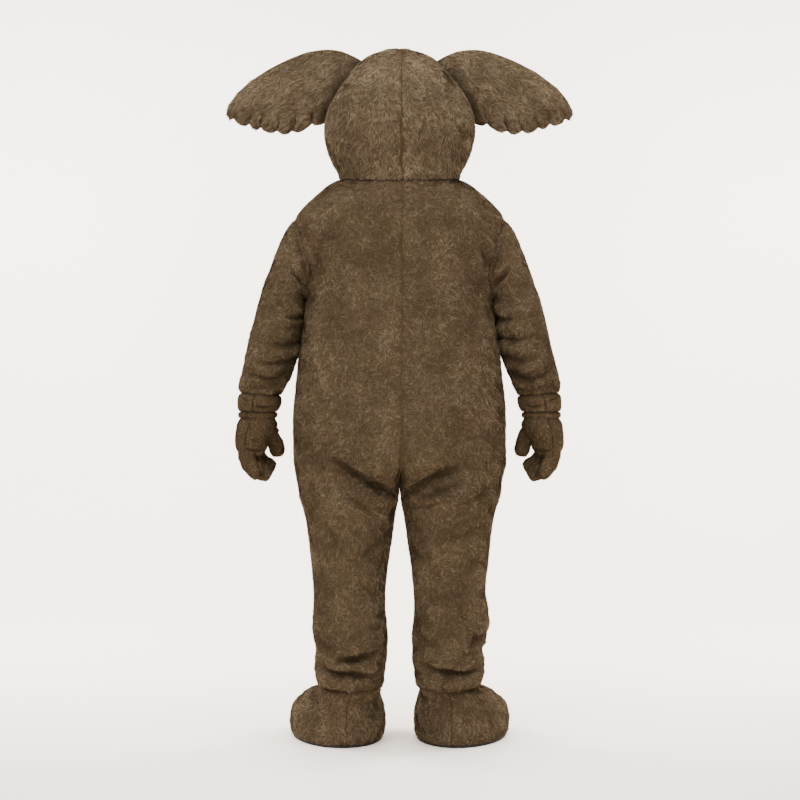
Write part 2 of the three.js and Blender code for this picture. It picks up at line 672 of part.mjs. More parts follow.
function headPoint(z, turn) {
  const angle = ((1 - turn) * Math.PI) / 2;
  const behind = turn < 1 ? "back" : "front";
  const x = column(HEAD, "half", z) * signedPower(Math.cos(angle), HEAD_SQUARENESS);
  const y = column(HEAD, behind, z) * signedPower(Math.sin(angle), HEAD_SQUARENESS);
  return new THREE.Vector3(x, y, z - neckDrop(z, y));
}

// One row across a head panel: turn runs from the panel's first edge to its last, in equal steps.
function headRow(z, from, to, columns, place) {
  const crown = HEAD_ROWS[HEAD_ROWS.length - 1];
  const outerRow = [];
  const innerRow = [];
  for (let c = 0; c <= columns; c += 1) {
    const turn = THREE.MathUtils.lerp(from, to, c / columns);
    const side = turn <= 2 ? 1 : -1;
    const half = turn <= 2 ? turn : 4 - turn;
    const point = headPoint(z, half);
    const inside = point.clone();
    if (z === crown) inside.z -= HEAD_WALL;
    else inside.addScaledVector(normalOf(headPoint, z, half, SLOPE_STEP_Z, SLOPE_STEP_TURN), -HEAD_WALL);
    outerRow.push(place(point, half, side));
    innerRow.push(place(inside, half, side));
  }
  return { outerRow, innerRow };
}

function headBack(side) {
  const rows = HEAD_ROWS.map((z) => {
    const crown = HEAD_ROWS[HEAD_ROWS.length - 1];
    const share = THREE.MathUtils.clamp((crown - z) / CROWN_HEIGHT, 0, 1);
    return headRow(z, 0, 1, HEAD_COLUMNS, (p, turn) => {
      const shift = BACK_SEAM_SHIFT * side * share;
      const x = turn === 0 ? shift : Math.max(p.x, 0) + shift * (1 - turn) ** 2;
      return mirrored(new THREE.Vector3(x + GAP / 2, Math.max(p.y, 0) + GAP / 2, p.z), side);
    });
  });
  return solidBetween(
    rows.map((row) => row.outerRow),
    rows.map((row) => row.innerRow),
    false,
  );
}

function headFront() {
  const rows = HEAD_ROWS.map((z) =>
    headRow(z, 1, 3, HEAD_COLUMNS * 2, (p, turn, side) => {
      const x = turn === 2 ? 0 : Math.max(p.x, 0);
      return mirrored(new THREE.Vector3(x, Math.min(p.y, 0) - GAP / 2, p.z), side);
    }),
  );
  return solidBetween(
    rows.map((row) => row.outerRow),
    rows.map((row) => row.innerRow),
    false,
  );
}

const headPower = 2 / HEAD_SQUARENESS;

// How far out the head's side lies at a height and depth.
function headSide(y, z) {
  const depth = column(HEAD, y > 0 ? "back" : "front", z);
  const share = Math.min(Math.abs(y) / Math.max(depth, 1), 1);
  return column(HEAD, "half", z) * (1 - share ** headPower) ** (1 / headPower);
}

// How far down a lobe hangs at a column, as a share of its depth: 0 in a notch, 1 between two.
function lobeShare(c) {
  const next = Math.max(1, EAR_NOTCHES.findIndex((notch) => notch >= c));
  const width = EAR_NOTCHES[next] - EAR_NOTCHES[next - 1];
  return Math.sin((Math.PI * (c - EAR_NOTCHES[next - 1])) / width) ** EAR.lobeRoundness;
}

function earHalf(side, back) {
  const towards = back ? 1 : -1;
  const outer = [];
  const inner = [];
  for (const down of EAR_ROWS) {
    const outerRow = [];
    const innerRow = [];
    const rootX = THREE.MathUtils.lerp(EAR_TOP_EDGE[0].x, EAR_LOWER_EDGE[0].x, down);
    const rootZ = THREE.MathUtils.lerp(EAR_TOP_EDGE[0].z, EAR_LOWER_EDGE[0].z, down);
    for (let c = 0; c <= EAR_COLUMNS; c += 1) {
      const share = c / EAR_COLUMNS;
      const top = column(EAR_TOP_EDGE, "x", share, "share");
      const low = column(EAR_LOWER_EDGE, "x", share, "share");
      const topZ = column(EAR_TOP_EDGE, "z", share, "share");
      const lowZ = column(EAR_LOWER_EDGE, "z", share, "share");
      const lobe = EAR.lobeDepth * Math.max(0, lobeShare(c)) * down ** EAR.lobeNearEdge;
      const x = THREE.MathUtils.lerp(top, low, down);
      const z = THREE.MathUtils.lerp(topZ, lowZ, down) - lobe;
      const plane = EAR.plane + EAR.sweep * share;
      const tipFade = (1 - share ** EAR.tipPower) ** EAR.tipRounding;
      const dome = Math.sqrt(Math.max(0, 4 * down * (1 - down))) * tipFade;
      const fullness = THREE.MathUtils.lerp(EAR.rootFullness, 1, share);
      const thick = EAR.edgeHalf + (EAR.fullHalf - EAR.edgeHalf) * dome * fullness;
      const place = (depth) => {
        const y = plane + towards * (GAP / 2 + depth);
        const root = headSide(y, rootZ) - EAR_TUCK - rootX;
        const nearHead = Math.max(0, 1 - share / EAR_ROOT_SHARE) ** 2;
        return new THREE.Vector3((x + root * nearHead) * side, y, z);
      };
      outerRow.push(place(thick));
      innerRow.push(place(0));
    }
    outer.push(outerRow);
    inner.push(innerRow);
  }
  return geometryOf(manifoldOf(solidBetween(outer, inner, false)).subtract(headForm));
}

// The head's outer form, a little larger all round, for cutting what is seated on it.
function headBlock(clearance) {
  const rings = [];
  const steps = HEAD_COLUMNS * 4;
  for (const z of HEAD_ROWS) {
    const ring = [];
    for (let i = 0; i < steps; i += 1) {
      const quarter = i / HEAD_COLUMNS;
      const turn = quarter <= 2 ? quarter : 4 - quarter;
      const side = quarter <= 2 ? 1 : -1;
      const point = headPoint(z, turn);
      if (z === HEAD_ROWS[HEAD_ROWS.length - 1]) point.z += clearance;
      else point.addScaledVector(normalOf(headPoint, z, turn, SLOPE_STEP_Z, SLOPE_STEP_TURN), clearance);
      ring.push(mirrored(point, side));
    }
    rings.push(ring);
  }
  return closedThrough(rings);
}

// A domed piece on the face, made from the head's own points moved out.
function facePiece(centreX, shape) {
  const outer = [];
  const inner = [];
  const frontOf = (x, z) => {
    const share = Math.min(Math.abs(x) / column(HEAD, "half", z), 1);
    const depth = column(HEAD, "front", z) * (1 - share ** headPower) ** (1 / headPower);
    return new THREE.Vector3(x, -depth, z);
  };
  for (const ring of FACE_RINGS) {
    const outerRow = [];
    const innerRow = [];
    for (let i = 0; i < FACE_STEPS; i += 1) {
      const angle = (2 * Math.PI * i) / FACE_STEPS;
      const x = centreX + shape.halfWidth * ring * Math.cos(angle);
      const z = shape.z + shape.halfHeight * ring * Math.sin(angle);
      const base = frontOf(x, z);
      const right = frontOf(x + 1, z).sub(frontOf(x - 1, z));
      const up = frontOf(x, z + 1).sub(frontOf(x, z - 1));
      const normal = right.cross(up).normalize();
      const height = FACE_RIM + (shape.height - FACE_RIM) * Math.sqrt(1 - ring * ring);
      outerRow.push(base.clone().addScaledVector(normal, height));
      innerRow.push(base.clone().addScaledVector(normal, -FACE_TUCK));
    }
    outer.push(outerRow);
    inner.push(innerRow);
  }
  return geometryOf(manifoldOf(solidBetween(outer, inner, true)).subtract(headForm));
}

// Gloves.

function manifoldOf(geometry) {
  const triVerts = new Uint32Array(geometry.index.array);
  const vertProperties = new Float32Array(geometry.attributes.position.array);
  return new wasm.Manifold(new wasm.Mesh({ numProp: 3, vertProperties, triVerts }));
}

function geometryOf(manifold) {
  const mesh = manifold.getMesh();
  const geometry = new THREE.BufferGeometry();
  geometry.setAttribute("position", new THREE.Float32BufferAttribute(mesh.vertProperties, 3));
  geometry.setIndex([...mesh.triVerts]);
  return geometry;
}

function middleOf(ring) {
  const middle = new THREE.Vector3();
  for (const point of ring) middle.addScaledVector(point, 1 / ring.length);
  return middle;
}

// A closed solid through rings of points, its ends drawn together to their middles.
function closedThrough(rings) {
  const first = rings[0].map(() => middleOf(rings[0]));
  const last = rings[rings.length - 1].map(() => middleOf(rings[rings.length - 1]));
  const all = [first, ...rings, last];
  const steps = rings[0].length;
  const corners = [];
  for (let r = 0; r < all.length - 1; r += 1) {
    for (let i = 0; i < steps; i += 1) {
      const n = (i + 1) % steps;
      corners.push([all[r][i], all[r][n], all[r + 1][n]]);
      corners.push([all[r][i], all[r + 1][n], all[r + 1][i]]);
    }
  }
  return manifoldOf(closedSurface(corners));
}

function gloveBody(inset, rise, steps) {
  const rings = GLOVE.map((row, k) => {
    const ring = [];
    const z = k === 0 ? row.z + rise : k === GLOVE.length - 1 ? row.z + inset : row.z;
    for (let i = 0; i < steps; i += 1) {
      const angle = (2 * Math.PI * i) / steps;
      const x = row.x + (row.halfX - inset) * Math.cos(angle);
      const y = row.y + (row.halfY - inset) * Math.sin(angle);
      ring.push(new THREE.Vector3(x, y, z));
    }
    return ring;
  });
  return closedThrough(rings);
}

function finger(path, inset, steps) {
  const points = path.map((p) => new THREE.Vector3(p.x, p.y, p.z));
  const rings = [];
  const ringAt = (centre, direction, radius) => {
    const side = new THREE.Vector3(0, 1, 0);
    side.addScaledVector(direction, -side.dot(direction)).normalize();
    const over = direction.clone().cross(side);
    const ring = [];
    for (let i = 0; i < steps; i += 1) {
      const angle = (2 * Math.PI * i) / steps;
      const out = side.clone().multiplyScalar(Math.cos(angle)).addScaledVector(over, Math.sin(angle));
      ring.push(centre.clone().addScaledVector(out, radius));
    }
    return ring;
  };
  points.forEach((point, k) => {
    const before = points[Math.max(k - 1, 0)];
    const after = points[Math.min(k + 1, points.length - 1)];
    const direction = after.clone().sub(before).normalize();
    rings.push(ringAt(point, direction, path[k].r - inset));
  });
  const tip = points[points.length - 1];
  const direction = tip.clone().sub(points[points.length - 2]).normalize();
  const radius = path[path.length - 1].r - inset;
  const centre = tip.clone().addScaledVector(direction, radius * Math.SQRT1_2);
  rings.push(ringAt(centre, direction, radius * Math.SQRT1_2));
  return closedThrough(rings);
}

// The part of space on one side of the glove's back seam.
function seamSide(outwards) {
  const shape = new THREE.Shape();
  const shift = outwards ? GAP : -GAP;
  const top = GLOVE_SEAM[0].z;
  const seamEnd = GLOVE_SEAM[GLOVE_SEAM.length - 1].z;
  shape.moveTo(outwards ? SEAM_SLAB.outer : SEAM_SLAB.inner, outwards ? seamEnd : SEAM_SLAB.low);
  shape.lineTo(outwards ? SEAM_SLAB.outer : SEAM_SLAB.inner, top);
  for (const row of GLOVE_SEAM) shape.lineTo(row.x + shift, row.z);
  if (!outwards) {
    shape.lineTo(SEAM_SLAB.outer, seamEnd);
    shape.lineTo(SEAM_SLAB.outer, SEAM_SLAB.low);
  }
  shape.closePath();
  const slab = new THREE.ExtrudeGeometry(shape, { depth: SEAM_SLAB.depth, bevelEnabled: false });
  slab.translate(0, 0, -SEAM_SLAB.depth / 2);
  slab.rotateX(Math.PI / 2);
  const source = slab.attributes.position;
  const corners = [];
  for (let i = 0; i < source.count; i += 3) {
    corners.push([0, 1, 2].map((k) => new THREE.Vector3().fromBufferAttribute(source, i + k)));
  }
  return manifoldOf(closedSurface(corners));
}

function gloveShell() {
  const paths = Object.values(FINGERS);
  let outside = gloveBody(0, 0, GLOVE_STEPS);
  let inside = gloveBody(GLOVE_WALL, OPEN_END, GLOVE_INNER_STEPS);
  for (const path of paths) {
    outside = outside.add(finger(path, 0, FINGER_STEPS));
    inside = inside.add(finger(path, GLOVE_WALL, FINGER_INNER_STEPS));
  }
  return outside.subtract(inside);
}

function mirroredGeometry(geometry, side) {
  if (side > 0) return geometry;
  const copy = geometry.clone();
  copy.scale(-1, 1, 1);
  copy.setIndex([...copy.index.array].reverse());
  return copy;
}

function gloveBand(side) {
  const stem = GLOVE[GLOVE_STEM_ROW];
  const outer = [];
  const inner = [];
  for (const row of GLOVE_BAND) {
    const outerRow = [];
    const innerRow = [];
    for (let i = 0; i < GLOVE_STEPS; i += 1) {
      const angle = (2 * Math.PI * i) / GLOVE_STEPS;
      const c = Math.cos(angle);
      const s = Math.sin(angle);
      const holeX = (stem.halfX + GAP) * c;
      const holeY = (stem.halfY + GAP) * s;
      outerRow.push(new THREE.Vector3((stem.x + row.half * c) * side, stem.y + row.depth * s, row.z));
      innerRow.push(new THREE.Vector3((stem.x + holeX) * side, stem.y + holeY, row.z));
    }
    outer.push(outerRow);
    inner.push(innerRow);
  }
  return solidBetween(outer, inner, true);
}

// Boots.

// turn runs from 0 at the heel, through 1 at the outer side, to 2 at the toe; below 0 is the inner side.
function bootPoint(z, turn) {
  const angle = (turn * Math.PI) / 2;
  const reach = Math.cos(angle) >= 0 ? "heel" : "toe";
  const along = column(BOOT, reach, z) * Math.cos(angle);
  const across = column(BOOT, "half", z) * Math.sin(angle);
  const x = column(BOOT, "x", z) - along * Math.sin(BOOT_TURN) + across * Math.cos(BOOT_TURN);
  const y = column(BOOT, "y", z) + along * Math.cos(BOOT_TURN) + across * Math.sin(BOOT_TURN);
  return new THREE.Vector3(x, y, z);
}

function bootHalf(side, outerSide) {
  const towards = outerSide ? 1 : -1;
  const outer = [];
  const inner = [];
  for (const z of BOOT_ROWS) {
    const outerRow = [];
    const innerRow = [];
    for (let c = 0; c <= BOOT_COLUMNS; c += 1) {
      const turn = (towards * 2 * c) / BOOT_COLUMNS;
      const point = bootPoint(z, turn);
      const normal = normalOf(bootPoint, z, turn, BOOT_SLOPE_STEP_Z, BOOT_SLOPE_STEP_TURN);
      if (normal.dot(point.clone().sub(bootPoint(z, turn + 2))) < 0) normal.negate();
      if (z === BOOT_ROWS[0]) normal.setZ(0).normalize();
      const lift = outerSide ? foldDepth(BOOT_FOLDS, side, point.x, z) : 0;
      const inside = point.clone().addScaledVector(normal, lift - BOOT_WALL);
      point.addScaledVector(normal, lift);
      if (z === BOOT_ROWS[0]) inside.z = z;
      const apart = (GAP / 2) * towards * (c === 0 || c === BOOT_COLUMNS ? 1 : 0);
      for (const p of [point, inside]) {
        p.x += apart * Math.cos(BOOT_TURN);
        p.y += apart * Math.sin(BOOT_TURN);
      }
      outerRow.push(mirrored(point, side));
      innerRow.push(mirrored(inside, side));
    }
    outer.push(outerRow);
    inner.push(innerRow);
  }
  return solidBetween(outer, inner, false);
}

function bootSole(side) {
  const shape = new THREE.Shape();
  for (let i = 0; i < SOLE.steps; i += 1) {
    const angle = (2 * Math.PI * i) / SOLE.steps;
    const along = (Math.cos(angle) >= 0 ? SOLE.heel : SOLE.toe) * Math.cos(angle);
    const across = SOLE.half * Math.sin(angle);
    const x = SOLE.x - along * Math.sin(BOOT_TURN) + across * Math.cos(BOOT_TURN);
    const y = SOLE.y + along * Math.cos(BOOT_TURN) + across * Math.sin(BOOT_TURN);
    if (i === 0) shape.moveTo(x * side, y);
    else shape.lineTo(x * side, y);
  }
  shape.closePath();
  return new THREE.ExtrudeGeometry(shape, { depth: SOLE.top, bevelEnabled: false });
}

// All pieces.

const SIDES = [
  ["left", 1],
  ["right", -1],
];
const headForm = headBlock(SEAT_GAP);
const shell = gloveShell();
const gloveOuter = geometryOf(shell.intersect(seamSide(true)));
const glovePalm = geometryOf(shell.intersect(seamSide(false)));

for (const [word, side] of SIDES) {
  addNode(`head_back_${word}`, headBack(side), PLUSH);
  addNode(`ear_${word}_back`, earHalf(side, true), PLUSH);
  addNode(`ear_${word}_front`, earHalf(side, false), PLUSH);
  addNode(`eye_${word}`, facePiece(EYE.x * side, EYE), EYE_PLASTIC);
  addNode(`body_back_${word}`, bodyPanel(side, true), PLUSH);
  addNode(`body_front_${word}`, bodyPanel(side, false), PLUSH);
  addNode(`sleeve_${word}`, sleeve(side), PLUSH);
  addNode(`cuff_${word}`, cuff(side), PLUSH);
  addNode(`glove_${word}_back`, mirroredGeometry(gloveOuter, side), PLUSH);
  addNode(`glove_${word}_palm`, mirroredGeometry(glovePalm, side), PLUSH);
  addNode(`glove_${word}_band`, gloveBand(side), PLUSH);
  addNode(`boot_${word}_outer`, bootHalf(side, true), PLUSH);
  addNode(`boot_${word}_inner`, bootHalf(side, false), PLUSH);
  addNode(`boot_${word}_sole`, bootSole(side), SOLE_RUBBER);
}
addNode("head_front", headFront(), PLUSH);
addNode("nose", facePiece(0, NOSE), NOSE_VINYL);

export default costume;
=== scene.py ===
# %% [markdown]
# # A koala mascot costume, seen from behind
#
# The costume is a set that one person wears: a round head with two broad ears, a body suit with
# sleeves and legs in one, a pair of gloves and a pair of boots. It is all cut from the same short
# brown plush and sewn from flat panels. This notebook dresses the CAD model of that set: each panel
# becomes a thin shell of cloth with its creases, each shell gets its pile, and the few hard pieces
# (eyes, nose, soles) get their own surface.
#
# Lengths are in metres unless a table says millimetres. +Z is up, the front faces -Y, the wearer's
# left is at +X, and the origin lies between the wearer's shoulders.

# %% Load the frame
import json
import math

import bpy
import numpy as np
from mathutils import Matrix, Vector, kdtree
from mathutils.bvhtree import BVHTree

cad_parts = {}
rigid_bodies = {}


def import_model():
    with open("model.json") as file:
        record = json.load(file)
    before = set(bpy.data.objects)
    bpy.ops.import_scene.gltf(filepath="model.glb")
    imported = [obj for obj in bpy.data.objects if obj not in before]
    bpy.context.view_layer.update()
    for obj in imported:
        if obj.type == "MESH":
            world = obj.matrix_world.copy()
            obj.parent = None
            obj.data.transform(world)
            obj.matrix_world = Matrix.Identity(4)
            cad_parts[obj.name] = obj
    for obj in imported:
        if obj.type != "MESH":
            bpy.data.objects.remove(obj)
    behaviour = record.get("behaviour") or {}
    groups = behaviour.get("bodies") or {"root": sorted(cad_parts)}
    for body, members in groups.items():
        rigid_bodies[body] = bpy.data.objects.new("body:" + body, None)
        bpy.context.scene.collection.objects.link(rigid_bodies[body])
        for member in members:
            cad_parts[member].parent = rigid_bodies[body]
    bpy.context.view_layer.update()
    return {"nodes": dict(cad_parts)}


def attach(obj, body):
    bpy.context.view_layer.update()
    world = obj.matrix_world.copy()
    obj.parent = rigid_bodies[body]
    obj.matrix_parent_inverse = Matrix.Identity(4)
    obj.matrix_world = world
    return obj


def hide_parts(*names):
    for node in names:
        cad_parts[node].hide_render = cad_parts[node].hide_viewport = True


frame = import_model()
nodes = frame["nodes"]
FLOOR = -1.440
MM = 0.001
print("panels in the frame:", len(nodes))


# %% [markdown]
# ## Helpers
#
# Small tools that every step below uses: choosing one object, reading points and normals of a mesh
# as arrays, and soft waves that vary from place to place without any repeat.

# %% Helpers
def only(piece):
    """Make piece the one selected and active object."""
    bpy.ops.object.select_all(action="DESELECT")
    piece.select_set(True)
    bpy.context.view_layer.objects.active = piece


def add_modifier(piece, kind, **settings):
    """Add a modifier, set it and apply it at once."""
    only(piece)
    modifier = piece.modifiers.new(kind.title(), kind)
    for name, value in settings.items():
        setattr(modifier, name, value)
    bpy.ops.object.modifier_apply(modifier=modifier.name)


def delete_faces(piece):
    """Delete the faces that are selected."""
    only(piece)
    bpy.context.tool_settings.mesh_select_mode = (False, False, True)
    bpy.ops.object.mode_set(mode="EDIT")
    bpy.ops.mesh.delete(type="FACE")
    bpy.ops.object.mode_set(mode="OBJECT")


def crease_sharp_edges(piece, angle, crease):
    """Let the edges that are sharper than this angle keep their form when the mesh is subdivided."""
    only(piece)
    bpy.ops.object.mode_set(mode="EDIT")
    bpy.ops.mesh.select_all(action="DESELECT")
    bpy.ops.mesh.edges_select_sharp(sharpness=math.radians(angle))
    bpy.ops.transform.edge_crease(value=crease)
    bpy.ops.object.mode_set(mode="OBJECT")


def link_new(name, data):
    """A new object in the scene that holds this mesh, light or camera."""
    thing = bpy.data.objects.new(name, data)
    bpy.context.scene.collection.objects.link(thing)
    return thing


def put_in_frame(piece, replaced):
    """Let the piece stand for its CAD nodes, fixed to the body."""
    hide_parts(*replaced)
    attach(piece, "root")


def points_of(piece):
    flat = np.empty(len(piece.data.vertices) * 3, np.float32)
    piece.data.vertices.foreach_get("co", flat)
    return flat.reshape(-1, 3).astype(float)


def normals_of(piece):
    flat = np.empty(len(piece.data.vertices) * 3, np.float32)
    piece.data.vertex_normals.foreach_get("vector", flat)
    return flat.reshape(-1, 3).astype(float)


def move_points(piece, points):
    piece.data.vertices.foreach_set("co", points.astype(np.float32).ravel())
    piece.data.update()


def set_number(piece, name, values):
    """Store one number for each point of the mesh, for the material to read."""
    old = piece.data.attributes.get(name)
    if old:
        piece.data.attributes.remove(old)
    attribute = piece.data.attributes.new(name, "FLOAT", "POINT")
    attribute.data.foreach_set("value", values.astype(np.float32))


def smoothstep(value, low, high):
    share = np.clip((value - low) / (high - low), 0, 1)
    return share * share * (3 - 2 * share)


def waves(points, seed, longest, shortest, count=7):
    """A smooth value between about -1 and 1 that changes over lengths between the two given."""
    random = np.random.RandomState(seed)
    total = np.zeros(len(points))
    for _ in range(count):
        direction = random.normal(size=3)
        direction /= np.linalg.norm(direction)
        length = longest * (shortest / longest) ** random.random_sample()
        phase = random.random_sample() * 2 * math.pi
        total += np.sin(points @ direction * 2 * math.pi / length + phase)
    return total / math.sqrt(count)


def unit(vectors):
    return vectors / np.maximum(np.linalg.norm(vectors, axis=1, keepdims=True), 1e-9)


# %% [markdown]
# ## Materials
#
# The plush is one material for the woven backing and one for the pile. Worn plush of this sort is
# never one colour: strands are painted lighter at the tip, for the light on them, and darker at the
# root, for the shade deep in the pile, whole patches of a hand's width differ because the pile was
# brushed another way, and creases and seams get painted shade.
# Colours are written as ordinary sRGB hex and turned into linear light by one function.

# %% Materials
def to_linear(hex_colour):
    """sRGB hex, such as '6b5843', as linear red, green, blue and alpha."""
    channels = [int(hex_colour[i : i + 2], 16) / 255 for i in (0, 2, 4)]
    return [c / 12.92 if c <= 0.04045 else ((c + 0.055) / 1.055) ** 2.4 for c in channels] + [1.0]


def new_material(name, numbers):
    """A material and its shader, with these numbers and colours on the shader's sockets."""
    material = bpy.data.materials.new(name)
    material.use_nodes = True
    shader = material.node_tree.nodes["Principled BSDF"]
    for socket, value in numbers.items():
        shader.inputs[socket].default_value = value
    return material, shader


def add_node(material, kind, settings=(), inputs=(), links=()):
    """Add a shader node. links are (other node, its output, this node's input)."""
    node = material.node_tree.nodes.new(kind)
    for name, value in dict(settings).items():
        setattr(node, name, value)
    for name, value in dict(inputs).items():
        node.inputs[name].default_value = value
    for source, output, target in links:
        material.node_tree.links.new(source.outputs[output], node.inputs[target])
    return node


def noise(material, scale, detail, roughness=0.5):
    """Noise on the object's own coordinates, with waves up to 1 / scale metres long."""
    place = add_node(material, "ShaderNodeTexCoord")
    numbers = {"Scale": scale, "Detail": detail, "Roughness": roughness}
    return add_node(material, "ShaderNodeTexNoise", inputs=numbers, links=[(place, "Object", "Vector")])


def ramp_over(material, source, output, stops):
    """A colour ramp of (position, hex colour) stops over the output of another node."""
    node = add_node(material, "ShaderNodeValToRGB", links=[(source, output, "Fac")])
    elements = node.color_ramp.elements
    while len(elements) > 1:
        elements.remove(elements[-1])
    elements[0].position, elements[0].color = stops[0][0], to_linear(stops[0][1])
    for position, colour in stops[1:]:
        elements.new(position).color = to_linear(colour)
    return node


def join_to_shader(material, shader, node, output, socket):
    material.node_tree.links.new(node.outputs[output], shader.inputs[socket])


def add_bump(material, shader, height, strength, distance):
    numbers = {"Strength": strength, "Distance": distance}
    bump = add_node(material, "ShaderNodeBump", inputs=numbers, links=[(height, "Fac", "Height")])
    join_to_shader(material, shader, bump, "Normal", "Normal")


def pile_colour(material, shader, stops, patches, dark):
    """Colour that runs along the strand's tone, varies in patches and darkens with the painted shade in
    creases and at seams.
    """
    tone = add_node(material, "ShaderNodeAttribute", {"attribute_name": "tone"})
    fold = add_node(material, "ShaderNodeAttribute", {"attribute_name": "fold"})
    # Patches up to 90 mm across, where the pile was brushed another way.
    patch = noise(material, 11.0, 4.0, 0.6)
    shift = add_node(
        material,
        "ShaderNodeMath",
        {"operation": "MULTIPLY_ADD"},
        {1: patches},
        [(patch, "Fac", 0), (tone, "Fac", 2)],
    )
    ramp = ramp_over(material, shift, "Value", stops)
    # Wider areas that are a little more olive or a little more russet.
    area = noise(material, 8.0, 3.0, 0.55)
    tint = ramp_over(material, area, "Fac", [(0.3, "f4f3e6"), (0.5, "faf6ef"), (0.7, "fdf5ee")])
    tinted = add_node(
        material,
        "ShaderNodeMix",
        {"data_type": "RGBA", "blend_type": "MULTIPLY"},
        {"Factor": 1.0},
        [(ramp, "Color", "A"), (tint, "Color", "B")],
    )
    colour = add_node(
        material,
        "ShaderNodeMix",
        {"data_type": "RGBA"},
        {"B": to_linear(dark)},
        [(fold, "Fac", "Factor"), (tinted, "Result", "A")],
    )
    join_to_shader(material, shader, colour, "Result", "Base Color")


# Pile of the plush: strands painted from earth brown at the root, for the shade deep in the pile,
# to straw at the tip, for the light on it.
pile, shader = new_material("plush_pile", {
    "Roughness": 0.8,
    "IOR": 1.5,
    "Specular IOR Level": 0.0,
    "Sheen Weight": 0.08,
    "Sheen Roughness": 0.5,
    "Sheen Tint": to_linear("8a7458"),
})
straw = [(0.0, "1d1812"), (0.3, "382f25"), (0.6, "584d3f"), (0.8, "786b59"), (1.0, "a49582")]
pile_colour(pile, shader, straw, 0.5, "211a12")

# Backing cloth under the pile: painted dark, as shade between the strands, matt and only seen
# between the strands and inside.
backing, shader = new_material("plush_backing", {"Roughness": 0.95, "Specular IOR Level": 0.0})
pile_colour(backing, shader, [(0.0, "2b2318"), (0.5, "3a3023"), (1.0, "4b3f30")], 0.6, "1b150e")
add_bump(backing, shader, noise(backing, 900.0, 2.0), 0.5, 0.0006)


def hard_material(name, colour, lighter, roughness, scale, depth, coat=0.0):
    """A moulded or coated surface with a fine uneven grain and slight wear."""
    specular = 0.5 if coat else 0.25
    numbers = {"IOR": 1.5, "Coat Weight": coat, "Specular IOR Level": specular}
    material, shader = new_material(name, numbers)
    grain = noise(material, scale, 5.0)
    ramp = ramp_over(material, grain, "Fac", [(0.3, colour), (0.7, lighter)])
    dull = add_node(
        material,
        "ShaderNodeMapRange",
        inputs={"To Min": roughness * 0.85, "To Max": min(1.0, roughness * 1.2)},
        links=[(grain, "Fac", "Value")],
    )
    join_to_shader(material, shader, ramp, "Color", "Base Color")
    join_to_shader(material, shader, dull, "Result", "Roughness")
    add_bump(material, shader, grain, 0.6, depth)
    return material


# Foam rubber sole, scuffed a little greyer in places.
sole_rubber = hard_material("sole_rubber", "12100f", "24211f", 0.72, 120.0, 0.0006)
# Soft vinyl over foam, as noses of such heads are made.
nose_vinyl = hard_material("nose_vinyl", "15110e", "221b16", 0.62, 260.0, 0.0003)
# Glossy moulded eye.
eye_plastic = hard_material("eye_plastic", "080605", "0c0a09", 0.18, 40.0, 0.00002, coat=0.2)
print("materials:", len(bpy.data.materials))

# %% [markdown]
# ## Creases
#
# A worn suit creases where the body bends: under the seat, at the elbows, where the sleeve sags on
# its cuff, and where the trouser leg stands on the boot. A crease is a path seen from behind, in
# millimetres across (x) and up (z), with its half width and its depth. A trough pushes a soft ridge
# up on both of its sides, as real cloth does, and a negative depth makes a full, rounded ridge of
# its own. No two have the same length, depth or spacing.
#
# The paths on the back were picked as pixels of the 800 x 800 photograph. The function seen
# turns them into millimetres on the surface, from the place of the camera. The front can't be seen
# there, so its creases and the ears' gathers are placed straight in millimetres.

# %% Crease tables
PICTURE = 800
PIXEL_FOCAL = 1852
PHOTO_MIDDLE = (399.5, 400)
CAMERA_ASIDE = -1.4
CAMERA_AWAY = 5019
CAMERA_UP = -504
# How far behind the origin the surface of each part lies, in millimetres.
TORSO, LEG, ARM, HAND, BOOT = 150, 100, 75, 60, 60


def seen(surface, pixels, width, depth, **more):
    """A crease picked on the photograph, with its path brought to millimetres on that surface."""
    scale = (CAMERA_AWAY - surface) / PIXEL_FOCAL
    middle_x, middle_y = PHOTO_MIDDLE
    path = [(round((middle_x - x) * scale), round(CAMERA_UP + (middle_y - y) * scale)) for x, y in pixels]
    return {"path": path, "width": width, "depth": depth, **more}


